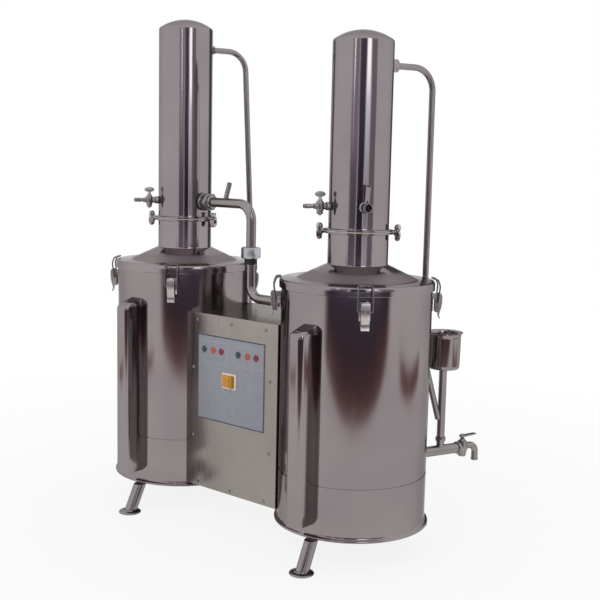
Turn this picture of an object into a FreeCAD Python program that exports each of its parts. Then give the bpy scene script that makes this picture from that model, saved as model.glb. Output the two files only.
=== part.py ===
import FreeCAD, Part
import math
import os

# Twin electric water distiller: two boilers on splayed legs, each with a lid, a condenser tower,
# a level cup and a drain tap, and one control box between them.
# Millimetres, +Z up, front towards -Y. The two boiler axes lie on y = 0.

V = FreeCAD.Vector
os.makedirs("parts", exist_ok=True)

# Overall layout
tank_spacing = 500.0
tank_radius = 150.0
sheet = 1.2
seat_gap = 0.3
fit_gap = 0.05
overrun = 2.0
round_sides = 16
bend_gores = 5
hexagon_sides = 6
full_turn = 360.0

# Boiler tanks
base_z = 57.0
base_lip_radius = tank_radius + 6.7
base_lip_height = 6.0
boiler_floor_z = 163.0
tank_rim_z = 543.0

# Lids
lid_radius = tank_radius + 4.5
lid_skirt_z = 529.5
lid_top_z = 547.0
lid_flange_inner_radius = tank_radius - 30.0
cone_top_z = 577.0
neck_radius = 60.0
gasket_thickness = 2.8
gasket_width = 6.0

# Clamp joint between neck and tower
clamp_radius = 67.0
clamp_z = 637.0
neck_flange_thickness = 4.0
clamp_gasket_thickness = 1.5
tower_flange_thickness = 4.0

# Swing bolts that close the clamp joint
bolt_pitch_radius = 77.0
bolt_pin_z = 629.0
bolt_shank_radius = 3.0
bolt_eye_radius = 5.5
bolt_eye_width = 6.4
bolt_tip_z = 660.0
bolt_pin_radius = 2.0
fork_ear_thickness = 4.0
fork_ear_reach = 6.0
fork_ear_drop = 6.5
slot_lug_thickness = 3.0
slot_lug_width = 20.0
slot_lug_reach = 5.0
nut_lift = 0.8
nut_base_radius = 5.5
nut_base_height = 4.5
wing_half_span = 12.0
wing_rise = 6.5
wing_thickness = 2.4
right_bolt_angles = (-144.0, 36.0)
left_bolt_angles = (-146.0, 12.0)

# Condenser towers
tower_radius = 60.0
right_tower_top_z = 1011.0
left_tower_top_z = 1064.0
dome_height = 18.0
dome_edge_round = 6.0

# Condenser tube bundle inside each tower
bundle_tube_radius = 8.0
bundle_pitch_radius = 33.0
bundle_tube_count = 6
bundle_plate_thickness = 4.0
bundle_bottom_inset = 22.0
bundle_top_inset = 70.0

# Distillate outlet stub and vent of the right tower
outlet_z = 690.0
outlet_angle = -41.0
outlet_radius = 9.5
outlet_pipe_radius = 9.0
outlet_bore_radius = 7.5
outlet_reach = 88.0
outlet_grip = 6.0
vent_radius = 5.25
vent_wall = 1.2
vent_lean = 18.0
vent_offset = 11.5
right_vent_height = 42.0
left_vent_height = 44.0

# Transfer pipe from the left tower to the right tank
transfer_z = 681.0
transfer_radius = 10.5
transfer_bore_radius = 9.0
transfer_drop_x = -41.0
transfer_bend_radius = 36.0
transfer_return_z = 478.5
transfer_return_bend_radius = 30.0
transfer_split_z = 571.0
transfer_joint_reach = 76.0
transfer_vent_x = -122.0
union_nut_length = 31.5
union_nut_flats = 36.0
drop_nut_z = 565.0
drop_nut_height = 24.0
drop_nut_flats = 38.0
coupling_z = 552.0
coupling_radius = 14.0

# Cooling overflow pipes
overflow_angle = 70.0
overflow_radius = 6.35
right_overflow_z = 965.0
left_overflow_z = 1020.0
overflow_bend_radius = 45.0
overflow_reach = tank_radius + 17.0
left_overflow_top_reach = tank_radius - 3.0
left_overflow_lean_z = 620.0
overflow_kink_z = 388.0
overflow_join_z = 240.0
overflow_kink_bend_radius = 60.0
overflow_lean_bend_radius = 300.0
overflow_nut_flats = 24.5
overflow_nut_length = 22.0
cone_nut_radius = 14.4
cone_nut_length = 11.0

# Level cups
cup_reach = tank_radius + 72.0
cup_radius = 34.5
cup_bottom_radius = 32.0
cup_bottom_z = 348.0
cup_flare_z = 418.0
cup_rim_z = 426.0
cup_rim_radius = 38.7
cup_wall = 1.5
riser_radius = 8.35
riser_bore_radius = 6.5

# Drain pipes and taps
drain_z = 170.0
drain_radius = 11.0
drain_bore_radius = 9.0
drain_reach = tank_radius + 115.0
tap_reach = drain_reach + 16.0
tap_collar_radius = 13.5
tap_collar_length = 7.0
tap_body_radius = 11.5
tap_barrel_radius = 10.5
tap_barrel_half_height = 14.0
tap_bore_radius = 5.0
tap_plug_radius = 7.0
tap_end_reach = tap_reach + 42.0
tap_spout_radius = 7.0
tap_spout_bend_radius = 14.0
tap_mouth_drop = 32.0
tap_nut_flats = 15.0
tap_nut_height = 5.0
tap_lever_length = 46.0
tap_lever_lean = 35.0
tap_lever_width = 10.0
tap_lever_thickness = 3.5

# Petcocks for the cooling water
petcock_angle = -120.0
right_petcock_z = 690.0
left_petcock_z = 682.0
petcock_hex_flats = 16.0
petcock_hex_length = 9.5
petcock_reach = 82.0
petcock_body_radius = 6.5
petcock_barrel_radius = 8.0
petcock_barrel_half_height = 10.0
petcock_plug_radius = 4.5
petcock_bore_radius = 2.6
petcock_tip_reach = 116.0
barb_radius = 4.8
barb_root_radius = 3.9
barb_length = 14.0
key_width = 22.0
key_height = 16.0
key_waist_share = 0.4
key_shoulder_share = 0.75
key_thickness = 3.0
key_lift = 16.0
key_nut_flats = 11.0
key_nut_height = 5.0

# Legs and feet
front_leg_angle = -80.0
rear_leg_angle = 80.0
leg_radius = 13.0
leg_foot_reach = tank_radius + 43.0
leg_top_reach = tank_radius + 8.0
foot_radius = 24.0
foot_height = 4.5

# Wiring covers on the tank fronts
cover_left_x = -11.0
cover_right_x = 25.0
cover_front_y = -tank_radius - 45.0
cover_bottom_z = 85.0
cover_wall_top_z = 471.0
cover_front_top_z = 455.0
cover_round = 5.0

# Control box and its front plate
box_half_width = 132.0
box_bottom_z = 68.0
box_top_z = 450.0
panel_front_y = -100.0
box_back_y = 100.0
panel_thickness = 1.5
box_tank_gap = 0.5
lamp_radius = 8.0
lamp_height = 3.6
lamp_z = 374.0
lamp_group_pitch = 100.0
lamp_group_count = 2
lamp_left_x = -77.0
lamp_green_step = 0.0
lamp_amber_step = 27.0
lamp_red_step = 51.0
bezel_x = -2.5
bezel_z = 314.0
bezel_width = 41.0
bezel_height = 33.0
bezel_proud = 3.0
bezel_depth = 16.0
bezel_wall = 1.5
rocker_width = 30.0
rocker_height = 26.0
rocker_side_gap = 0.5
rocker_pivot_depth = 4.0
rocker_depth = 12.0
rocker_crease = 3.0
rocker_pin_radius = 1.5
rocker_tilt = 7.0
screw_radius = 3.6
screw_height = 2.4
screw_top_z = 435.0
screw_bottom_z = 75.0
screw_side_x = 111.0
screw_row_x = 99.0
screw_side_high_z = 330.0
screw_side_low_z = 180.0

# Toggle latches
latch_count = 4
right_latch_angle = -46.5
left_latch_angle = -53.0
latch_plate_bottom_z = 485.0
latch_plate_top_z = 520.0
latch_plate_width = 22.0
latch_plate_thickness = 2.0
latch_ear_half_width = 6.5
latch_ear_thickness = 1.6
fulcrum_reach = tank_radius + 13.5
fulcrum_z = 515.0
fulcrum_pin_radius = 2.0
latch_ear_below = 6.5
latch_ear_above = 6.0
latch_ear_beyond = 3.0
lever_half_width = 8.0
lever_wall = 1.2
bail_pivot_inset = 2.0
bail_pivot_drop = 12.5
bail_wire_radius = 2.0
bail_half_width = 16.0
bail_bulge_z = 536.0
bail_bulge_reach = tank_radius + 15.0
bail_shoulder_z = 548.5
bail_shoulder_reach = tank_radius + 10.0
bail_bar_reach = tank_radius + 1.5
bail_clear = 0.9
lever_tip_z = 469.0
lever_kick_z = 478.0
lever_head_beyond = 4.0
lever_belly = 7.5
lever_waist = 1.5
lever_lip = 5.0
lever_cheek_margin = 4.5
bail_wire_sides = 8

# Immersion heaters
heater_z = 196.0
heater_tube_radius = 6.0
heater_spacing = 44.0
heater_length = 190.0
heater_plate_radius = 31.0
heater_plate_thickness = 5.0


def cylinder(base, direction, radius, length):
    return Part.makeCylinder(radius, length, base, direction)


def ring(base, direction, outer, inner, length):
    core = cylinder(base - direction * overrun, direction, inner, length + overrun + overrun)
    return cylinder(base, direction, outer, length).cut(core)


def block(low, high):
    size = high - low
    return Part.makeBox(size.x, size.y, size.z, low)


def beside_tank(shape, gap):
    # Cuts a piece back from the tank's wall.
    return shape.cut(cylinder(V(), up, tank_radius + gap, tank_rim_z))


def beside_both_tanks(shape, gap):
    for centre in sides.values():
        shape = shape.cut(cylinder(V(centre, 0, 0), up, tank_radius + gap, tank_rim_z))
    return shape


def revolve(points):
    wire = Part.makePolygon([V(r, 0, z) for r, z in points] + [V(points[0][0], 0, points[0][1])])
    return Part.Face(wire).revolve(V(), V(0, 0, 1), full_turn)


def extrude(points, travel):
    return Part.Face(Part.makePolygon(points + [points[0]])).extrude(travel)


def hexagon(base, direction, flats, length):
    # Across-flats size; the prism starts at base and runs along direction.
    corner = flats / 2 / math.cos(math.pi / hexagon_sides)
    side = direction.cross(V(0, 0, 1))
    if side.Length < fit_gap:
        side = V(1, 0, 0)
    side.normalize()
    other = direction.cross(side)
    points = []
    for step in range(hexagon_sides):
        angle = 2 * math.pi * (step + 1 / 2) / hexagon_sides
        points.append(base + side * (corner * math.cos(angle)) + other * (corner * math.sin(angle)))
    return extrude(points, direction * length)


def rod(base, direction, radius, length):
    # A slim round bar as a many-sided prism whose corners lie on the radius.
    return extrude(corners_round(base, direction, radius), direction * length)


def round_room(radius):
    # The corner radius of a many-sided hole in which a round bar of this radius turns freely.
    return (radius + fit_gap) / math.cos(math.pi / round_sides)


def corners_round(base, direction, radius):
    side = direction.cross(V(0, 1, 0))
    if side.Length < fit_gap:
        side = direction.cross(V(1, 0, 0))
    side.normalize()
    other = direction.cross(side)
    points = []
    for step in range(round_sides):
        angle = 2 * math.pi * (step + 1 / 2) / round_sides
        points.append(base + side * (radius * math.cos(angle)) + other * (radius * math.sin(angle)))
    return points


def bend_points(points, radii):
    # The route with each corner replaced by the chords of a tangent arc.
    route = [points[0]]
    for before, corner, after, radius in zip(points, points[1:], points[2:], radii):
        toward = (before - corner).normalize()
        away = (after - corner).normalize()
        half = toward.getAngle(away) / 2
        setback = radius / math.tan(half)
        bisector = (toward + away).normalize()
        hub = corner + bisector * (radius / math.sin(half))
        first = corner + toward * setback - hub
        turn = math.pi - half - half
        last = corner + away * setback - hub
        normal = first.cross(last).normalize()
        steps = max(2, round(bend_gores * turn / (math.pi / 2)))
        for step in range(steps + 1):
            arm = FreeCAD.Rotation(normal, math.degrees(turn * step / steps)).multVec(first)
            route.append(hub + arm)
    route.append(points[-1])
    return route


def sweep(points, radii, radius):
    # A tube's outer form: a many-sided section carried along the route and mitred at each chord.
    route = bend_points(points, radii)
    direction = (route[1] - route[0]).normalize()
    corners = corners_round(route[0], direction, radius)
    section = Part.makePolygon(corners + [corners[0]])
    return Part.makePolygon(route).makePipeShell([section], True, False, 1)


def pipe(points, radii, outer, inner):
    return sweep(points, radii, outer).cut(sweep(points, radii, inner))


def place(shape, angle, centre_x):
    moved = shape.copy()
    moved.rotate(V(), V(0, 0, 1), angle)
    moved.translate(V(centre_x, 0, 0))
    return moved


def fuse(shapes):
    return shapes[0].multiFuse(shapes[1:]).removeSplitter()


nodes = {}
sides = {"right": tank_spacing / 2, "left": -tank_spacing / 2}
tower_tops = {"right": right_tower_top_z, "left": left_tower_top_z}
bolt_angles = {"right": right_bolt_angles, "left": left_bolt_angles}
latch_starts = {"right": right_latch_angle, "left": left_latch_angle}
petcock_heights = {"right": right_petcock_z, "left": left_petcock_z}
up = V(0, 0, 1)
out = V(1, 0, 0)
neck_face_z = clamp_z + neck_flange_thickness
tower_foot_z = neck_face_z + clamp_gasket_thickness
slot_lug_top_z = tower_foot_z + slot_lug_thickness
nut_z = slot_lug_top_z + nut_lift
bail_bar_z = lid_top_z + bail_clear + bail_wire_radius
pivot_reach = fulcrum_reach - bail_pivot_inset
pivot_z = fulcrum_z - bail_pivot_drop


def tank():
    inner = tank_radius - sheet
    return revolve([
        (inner, base_z),
        (base_lip_radius, base_z),
        (base_lip_radius, base_z + base_lip_height),
        (tank_radius, base_z + base_lip_height),
        (tank_radius, tank_rim_z),
        (inner, tank_rim_z),
        (inner, boiler_floor_z + sheet),
        (0, boiler_floor_z + sheet),
        (0, boiler_floor_z),
        (inner, boiler_floor_z),
    ])


def fork():
    # Two ears under the neck flange that hold the eye of a swing bolt on its pin.
    reach = bolt_pitch_radius + fork_ear_reach
    inside = bolt_eye_width / 2 + seat_gap
    low = bolt_pin_z - fork_ear_drop
    bore = rod(V(bolt_pitch_radius, -slot_lug_width, bolt_pin_z), V(0, 1, 0), round_room(bolt_pin_radius),
               slot_lug_width + slot_lug_width)
    ears = []
    for side in (-1, 1):
        near = side * inside
        far = side * (inside + fork_ear_thickness)
        outline = [
            V(neck_radius - sheet / 2, near, low),
            V(reach - fork_ear_reach / 2, near, low),
            V(reach, near, low + fork_ear_reach / 2),
            V(reach, near, neck_face_z),
            V(neck_radius - sheet / 2, near, neck_face_z),
        ]
        ears.append(extrude(outline, V(0, far - near, 0)).cut(bore))
    return ears


def lid(unit):
    inner = neck_radius - sheet
    shell = revolve([
        (lid_radius, lid_skirt_z),
        (lid_radius, lid_top_z),
        (lid_flange_inner_radius, lid_top_z),
        (neck_radius, cone_top_z),
        (neck_radius, clamp_z),
        (clamp_radius, clamp_z),
        (clamp_radius, neck_face_z),
        (inner, neck_face_z),
        (inner, cone_top_z - sheet),
        (lid_flange_inner_radius, lid_top_z - sheet),
        (lid_radius - sheet, lid_top_z - sheet),
        (lid_radius - sheet, lid_skirt_z),
    ])
    pieces = [shell]
    for angle in bolt_angles[unit]:
        for ear in fork():
            pieces.append(place(ear, angle, 0))
    return fuse(pieces)


def slot_lug():
    # An ear of the tower flange, open outwards so that the swing bolt can leave it.
    near = tower_radius - sheet / 2
    far = bolt_pitch_radius + slot_lug_reach
    half = slot_lug_width / 2
    slot_half = bolt_shank_radius + seat_gap + seat_gap
    plate = block(V(near, -half, tower_foot_z), V(far, half, slot_lug_top_z))
    slot_start = bolt_pitch_radius - slot_half
    slot = block(V(slot_start, -slot_half, tower_foot_z - overrun),
                 V(far + overrun, slot_half, slot_lug_top_z + overrun))
    return plate.cut(slot)


def vent_tube(foot, height, lean_direction):
    axis = (up * math.cos(math.radians(vent_lean)) + lean_direction * math.sin(math.radians(vent_lean)))
    length = height / math.cos(math.radians(vent_lean))
    tube = rod(foot, axis, vent_radius, length)
    bore = rod(foot, axis, vent_radius - vent_wall, length + overrun)
    return tube, bore


def tower_shell(unit):
    # A tube with a foot flange, a chamfer and a domed top.
    top = tower_tops[unit]
    bore = tower_radius - sheet
    inside_top = top - dome_edge_round
    crown = V(0, 0, top + dome_height)
    crown_radius = tower_radius - dome_edge_round / 2
    dome_sphere = (crown_radius ** 2 + dome_height ** 2) / (dome_height + dome_height)
    half_angle = math.asin(crown_radius / dome_sphere) / 2
    hub = crown - up * dome_sphere
    dome_edge = V(crown_radius, 0, top)
    dome_middle = hub + V(dome_sphere * math.sin(half_angle), 0, dome_sphere * math.cos(half_angle))
    flange_top = tower_foot_z + tower_flange_thickness
    lines = Part.makePolygon([
        crown,
        V(0, 0, inside_top),
        V(bore, 0, inside_top),
        V(bore, 0, tower_foot_z),
        V(clamp_radius, 0, tower_foot_z),
        V(clamp_radius, 0, flange_top),
        V(tower_radius, 0, flange_top),
        V(tower_radius, 0, inside_top),
        dome_edge,
    ])
    dome = Part.Arc(dome_edge, dome_middle, crown).toShape()
    return Part.Face(Part.Wire(lines.Edges + [dome])).revolve(V(), up, full_turn)


def condenser(unit):
    pieces = [tower_shell(unit)]
    cuts = []
    for angle in bolt_angles[unit]:
        pieces.append(place(slot_lug(), angle, 0))
    inside = tower_radius - sheet - overrun
    if unit == "right":
        stub = cylinder(V(tower_radius - sheet / 2, 0, outlet_z), out, outlet_pipe_radius,
                        outlet_reach - outlet_grip / 2 - tower_radius + sheet / 2)
        mouth = cylinder(V(outlet_reach - outlet_grip, 0, outlet_z), out, outlet_radius, outlet_grip)
        bore = cylinder(V(inside, 0, outlet_z), out, outlet_bore_radius, outlet_reach)
        foot = V(tower_radius + vent_offset, 0, outlet_z)
        tube, tube_bore = vent_tube(foot, right_vent_height, out)
        for shape in (stub, mouth, tube):
            pieces.append(place(shape, outlet_angle, 0))
        for shape in (bore, tube_bore):
            cuts.append(place(shape, outlet_angle, 0))
    else:
        pieces.append(cylinder(V(tower_radius - sheet / 2, 0, transfer_z), out, transfer_radius,
                               transfer_joint_reach - tower_radius + sheet / 2))
        cuts.append(cylinder(V(inside, 0, transfer_z), out, transfer_bore_radius, transfer_joint_reach))
    return fuse(pieces).cut(Part.makeCompound(cuts))


def bundle(unit):
    low = tower_foot_z + bundle_bottom_inset
    high = tower_tops[unit] - bundle_top_inset
    plate_radius = tower_radius - sheet - seat_gap
    top_plate = high - bundle_plate_thickness
    pieces = [rod(V(0, 0, low), up, plate_radius, bundle_plate_thickness),
              rod(V(0, 0, top_plate), up, plate_radius, bundle_plate_thickness)]
    for step in range(bundle_tube_count):
        angle = 2 * math.pi * step / bundle_tube_count
        spot = V(bundle_pitch_radius * math.cos(angle), bundle_pitch_radius * math.sin(angle), low)
        pieces.append(rod(spot, up, bundle_tube_radius, high - low))
    return fuse(pieces)


for unit, centre in sides.items():
    nodes["tank_" + unit] = place(tank(), 0, centre)
    nodes["lid_" + unit] = place(lid(unit), 0, centre)
    nodes["condenser_" + unit] = place(condenser(unit), 0, centre)

nodes["condenser_bundles"] = Part.makeCompound(
    [place(bundle(unit), 0, centre) for unit, centre in sides.items()])


def gasket_pair(centre):
    lid_gasket = ring(V(0, 0, tank_rim_z), up, lid_radius - sheet - sheet, tank_radius - gasket_width,
                      gasket_thickness - seat_gap)
    clamp_gasket = ring(V(0, 0, neck_face_z), up, clamp_radius, neck_radius - sheet,
                        clamp_gasket_thickness)
    return [place(lid_gasket, 0, centre), place(clamp_gasket, 0, centre)]


gaskets = []
for centre in sides.values():
    gaskets += gasket_pair(centre)
nodes["gaskets"] = Part.makeCompound(gaskets)


def heater():
    # A hairpin element on a round plate that seats on the inside of the tank's front wall.
    inner = tank_radius - sheet
    seat_y = -math.sqrt(inner ** 2 - heater_plate_radius ** 2) + seat_gap
    seat = V(0, seat_y, heater_z)
    half = V(heater_spacing / 2, 0, 0)
    end = seat + V(0, heater_length, 0)
    bend = heater_spacing / 2 - heater_tube_radius / 2
    element = sweep([seat - half, end - half, end + half, seat + half], [bend, bend], heater_tube_radius)
    plate = cylinder(seat, V(0, 1, 0), heater_plate_radius, heater_plate_thickness)
    return fuse([element, plate])


nodes["heaters"] = Part.makeCompound([place(heater(), 0, centre) for centre in sides.values()])


def leg():
    # A tube that leans out from under the base lip to a round foot.
    foot = V(leg_foot_reach, 0, 0)
    top = V(leg_top_reach, 0, base_z)
    axis = (top - foot).normalize()
    reach = (top - foot).Length + leg_radius + leg_radius
    base = foot - axis * leg_radius
    tube = rod(base, axis, leg_radius, reach)
    span = leg_foot_reach + leg_foot_reach
    room = block(V(-span, -span, foot_height - overrun / 2), V(span, span, base_z))
    disc = cylinder(foot, up, foot_radius, foot_height)
    return fuse([tube.common(room), disc])


legs = []
for centre in sides.values():
    for angle in (front_leg_angle, rear_leg_angle):
        legs.append(place(leg(), angle, centre))
nodes["legs"] = Part.makeCompound(legs)


def wiring_cover():
    # A channel of sheet with a sloping roof, open at the back where it meets the tank wall.
    def body(inset):
        outline = [
            V(cover_left_x + inset, cover_front_y + inset, cover_bottom_z + inset),
            V(cover_left_x + inset, 0, cover_bottom_z + inset),
            V(cover_left_x + inset, 0, cover_back_z - inset),
            V(cover_left_x + inset, cover_front_y + inset, cover_front_top_z - inset),
        ]
        return extrude(outline, V(cover_right_x - cover_left_x - inset - inset, 0, 0))

    wall_y = -tank_radius
    slope = (cover_wall_top_z - cover_front_top_z) / (wall_y - cover_front_y)
    cover_back_z = cover_front_top_z + slope * -cover_front_y
    outer = body(0)
    rounded = []
    for edge in outer.Edges:
        middle = edge.CenterOfMass
        if abs(middle.y - cover_front_y) < seat_gap:
            rounded.append(edge)
    outer = outer.makeFillet(cover_round, rounded)
    return beside_tank(outer.cut(body(sheet)), seat_gap)


nodes["wiring_covers"] = Part.makeCompound([place(wiring_cover(), 0, centre) for centre in sides.values()])


def box_body(inset):
    shape = block(V(-box_half_width + inset, panel_front_y + panel_thickness, box_bottom_z + inset),
                  V(box_half_width - inset, box_back_y - inset, box_top_z - inset))
    return beside_both_tanks(shape, box_tank_gap + inset)


def control_box():
    inner = box_body(sheet)
    mouth_low = V(-box_half_width + sheet, panel_front_y, box_bottom_z + sheet)
    mouth_high = V(box_half_width - sheet, panel_front_y + panel_thickness + overrun, box_top_z - sheet)
    return box_body(0).cut(inner).cut(block(mouth_low, mouth_high))


def front_panel():
    plate = block(V(-box_half_width, panel_front_y, box_bottom_z),
                  V(box_half_width, panel_front_y + panel_thickness, box_top_z))
    half_width = bezel_width / 2 - bezel_proud
    half_height = bezel_height / 2 - bezel_proud
    window = block(V(bezel_x - half_width - seat_gap, panel_front_y - overrun, bezel_z - half_height - seat_gap),
                   V(bezel_x + half_width + seat_gap, panel_front_y + overrun, bezel_z + half_height + seat_gap))
    return beside_both_tanks(plate.cut(window), box_tank_gap)


nodes["control_box"] = control_box()
nodes["front_panel"] = front_panel()

screw_places = []
for height in (screw_top_z, screw_bottom_z):
    for side in (-1, 0, 1):
        screw_places.append((side * screw_row_x, height))
for height in (screw_side_high_z, screw_side_low_z):
    for side in (-1, 1):
        screw_places.append((side * screw_side_x, height))
screws = []
for x, z in screw_places:
    screws.append(rod(V(x, panel_front_y, z), V(0, -1, 0), screw_radius, screw_height))
nodes["panel_screws"] = Part.makeCompound(screws)

for colour, step in (("green", lamp_green_step), ("amber", lamp_amber_step), ("red", lamp_red_step)):
    lamps = []
    for group in range(lamp_group_count):
        spot = V(lamp_left_x + step + lamp_group_pitch * group, panel_front_y, lamp_z)
        lamps.append(cylinder(spot, V(0, -1, 0), lamp_radius, lamp_height))
    nodes["lamps_" + colour] = Part.makeCompound(lamps)


def bezel():
    flange = block(V(bezel_x - bezel_width / 2, panel_front_y - bezel_proud, bezel_z - bezel_height / 2),
                   V(bezel_x + bezel_width / 2, panel_front_y, bezel_z + bezel_height / 2))
    half_width = bezel_width / 2 - bezel_proud
    half_height = bezel_height / 2 - bezel_proud
    sleeve = block(V(bezel_x - half_width, panel_front_y - bezel_proud, bezel_z - half_height),
                   V(bezel_x + half_width, panel_front_y + bezel_depth, bezel_z + half_height))
    open_width = rocker_width / 2 + rocker_side_gap + rocker_side_gap
    open_height = rocker_height / 2 + seat_gap
    mouth = block(V(bezel_x - open_width, panel_front_y - bezel_proud - overrun, bezel_z - open_height),
                  V(bezel_x + open_width, panel_front_y + bezel_depth - bezel_wall, bezel_z + open_height))
    pin_room = rod(V(bezel_x, rocker_pivot_y, bezel_z - open_height - rocker_pin_length - fit_gap), up,
                   round_room(rocker_pin_radius),
                   open_height + open_height + rocker_pin_length + rocker_pin_length + fit_gap + fit_gap)
    return fuse([flange, sleeve]).cut(mouth).cut(pin_room)


def rocker():
    # Two finger faces that meet in an upright crease, on pins above and below.
    half = rocker_width / 2
    face_y = rocker_pivot_y - rocker_depth
    low = bezel_z - rocker_height / 2
    outline = [
        V(bezel_x - half, face_y, low),
        V(bezel_x, face_y + rocker_crease, low),
        V(bezel_x + half, face_y, low),
        V(bezel_x + half - rocker_crease, rocker_pivot_y + rocker_crease, low),
        V(bezel_x - half + rocker_crease, rocker_pivot_y + rocker_crease, low),
    ]
    body = extrude(outline, V(0, 0, rocker_height))
    pin = rod(V(bezel_x, rocker_pivot_y, low - rocker_pin_length), up, rocker_pin_radius,
              rocker_height + rocker_pin_length + rocker_pin_length)
    shape = fuse([body, pin])
    shape.rotate(V(bezel_x, rocker_pivot_y, 0), up, -rocker_tilt)
    return shape


rocker_pivot_y = panel_front_y + rocker_pivot_depth
rocker_pin_length = bezel_wall
nodes["rocker_bezel"] = bezel()
nodes["rocker"] = rocker()


def transfer_upper():
    start = V(sides["left"] + transfer_joint_reach, 0, transfer_z)
    corner = V(transfer_drop_x, 0, transfer_z)
    end = V(transfer_drop_x, 0, transfer_split_z)
    body = sweep([start, corner, end], [transfer_bend_radius], transfer_radius)
    bore = sweep([start, corner, end], [transfer_bend_radius], transfer_bore_radius)
    foot = V(transfer_vent_x, 0, transfer_z)
    tube, tube_bore = vent_tube(foot, left_vent_height, out)
    return fuse([body, tube]).cut(bore).cut(tube_bore)


def transfer_lower():
    start = V(transfer_drop_x, 0, transfer_split_z)
    corner = V(transfer_drop_x, 0, transfer_return_z)
    end = V(sides["right"] - tank_radius + overrun, 0, transfer_return_z)
    body = pipe([start, corner, end], [transfer_return_bend_radius], transfer_radius, transfer_bore_radius)
    wall_room = cylinder(V(sides["right"], 0, 0), up, tank_radius + seat_gap, tank_rim_z)
    return body.cut(wall_room)


nodes["transfer_pipe_upper"] = transfer_upper()
nodes["transfer_pipe_lower"] = transfer_lower()

nut_bore_radius = transfer_radius + seat_gap
union_x = sides["left"] + tower_radius + seat_gap
union_nut = hexagon(V(union_x, 0, transfer_z), out, union_nut_flats, union_nut_length)
union_nut = union_nut.cut(cylinder(V(union_x - overrun, 0, transfer_z), out, nut_bore_radius,
                                   union_nut_length + overrun + overrun))
tower_room = cylinder(V(sides["left"], 0, 0), up, tower_radius + seat_gap, left_tower_top_z)
drop_nut = hexagon(V(transfer_drop_x, 0, drop_nut_z), up, drop_nut_flats, drop_nut_height)
drop_nut = drop_nut.cut(cylinder(V(transfer_drop_x, 0, drop_nut_z - overrun), up, nut_bore_radius,
                                 drop_nut_height + overrun + overrun))
nodes["transfer_nuts"] = Part.makeCompound([union_nut.cut(tower_room), drop_nut])
nodes["rubber_coupling"] = ring(V(transfer_drop_x, 0, coupling_z), up, coupling_radius, nut_bore_radius,
                                drop_nut_z - coupling_z)


def overflow(unit):
    # From the tower's top outwards, over a bend, down behind the tank and out to the riser.
    height = {"right": right_overflow_z, "left": left_overflow_z}[unit]
    top_reach = {"right": overflow_reach, "left": left_overflow_top_reach}[unit]
    join = cup_reach - riser_radius - seat_gap
    points = [V(tower_radius + seat_gap, 0, height), V(top_reach, 0, height)]
    radii = [overflow_bend_radius]
    if unit == "left":
        points.append(V(overflow_reach, 0, left_overflow_lean_z))
        radii.append(overflow_lean_bend_radius)
    points += [V(overflow_reach, 0, overflow_kink_z), V(join, 0, overflow_join_z)]
    radii.append(overflow_kink_bend_radius)
    body = sweep(points, radii, overflow_radius)
    riser_room = cylinder(V(cup_reach, 0, 0), up, riser_radius + seat_gap, height)
    tower_room = cylinder(V(), up, tower_radius + seat_gap, height + height)
    return body.cut(riser_room).cut(tower_room)


def overflow_nut(unit):
    pipe_room = overflow_radius + seat_gap
    tower_room = cylinder(V(), up, tower_radius + seat_gap, left_tower_top_z)
    if unit == "right":
        spot = V(tower_radius, 0, right_overflow_z)
        nut = hexagon(spot, out, overflow_nut_flats, overflow_nut_length)
    else:
        spot = V(tower_radius, 0, left_overflow_z)
        nut = Part.makeCone(cone_nut_radius, pipe_room + overrun, cone_nut_length, spot, out)
    bore = cylinder(spot - out * overrun, out, pipe_room, overflow_nut_length + overrun + overrun)
    return nut.cut(bore).cut(tower_room)


nodes["overflow_nuts"] = Part.makeCompound(
    [place(overflow_nut(unit), overflow_angle, centre) for unit, centre in sides.items()])


def level_cup():
    # A flared cup on a riser tube whose bore opens into the cup's floor.
    tube_foot = drain_z
    shell = revolve([
        (riser_bore_radius, tube_foot),
        (riser_radius, tube_foot),
        (riser_radius, cup_bottom_z),
        (cup_bottom_radius, cup_bottom_z),
        (cup_radius, cup_flare_z),
        (cup_rim_radius, cup_rim_z),
        (cup_rim_radius - cup_wall, cup_rim_z),
        (cup_radius - cup_wall, cup_flare_z),
        (cup_bottom_radius - cup_wall, cup_bottom_z + cup_wall),
        (riser_bore_radius, cup_bottom_z + cup_wall),
    ])
    shell.translate(V(cup_reach, 0, 0))
    pipe_room = rod(V(tank_radius, 0, drain_z), out, round_room(drain_radius + seat_gap), tank_radius)
    return shell.cut(pipe_room)


def drain_pipe():
    reach = drain_reach - tank_radius
    body = ring(V(tank_radius, 0, drain_z), out, drain_radius, drain_bore_radius, reach)
    return beside_tank(body, seat_gap)


def tap_body():
    # A plug cock: collar, body, upright barrel and a spout that turns down.
    start = V(drain_reach, 0, drain_z)
    collar = rod(start, out, tap_collar_radius, tap_collar_length)
    body = rod(start, out, tap_body_radius, tap_reach - drain_reach)
    barrel = rod(V(tap_reach, 0, drain_z - tap_barrel_half_height), up, tap_barrel_radius,
                 tap_barrel_half_height + tap_barrel_half_height)
    mouth = V(tap_end_reach - tap_spout_radius, 0, drain_z - tap_mouth_drop)
    corner = V(mouth.x, 0, drain_z)
    spout_path = [V(tap_reach, 0, drain_z), corner, mouth]
    spout = sweep(spout_path, [tap_spout_bend_radius], tap_spout_radius)
    spout_bore = sweep([start - out * overrun] + spout_path[1:-1] + [mouth - up * overrun],
                       [tap_spout_bend_radius], tap_bore_radius)
    plug_room = rod(V(tap_reach, 0, drain_z - tap_barrel_half_height - overrun), up,
                    round_room(tap_plug_radius),
                    tap_barrel_half_height + tap_barrel_half_height + overrun + overrun)
    return fuse([collar, body, barrel, spout]).cut(spout_bore).cut(plug_room)


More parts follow.
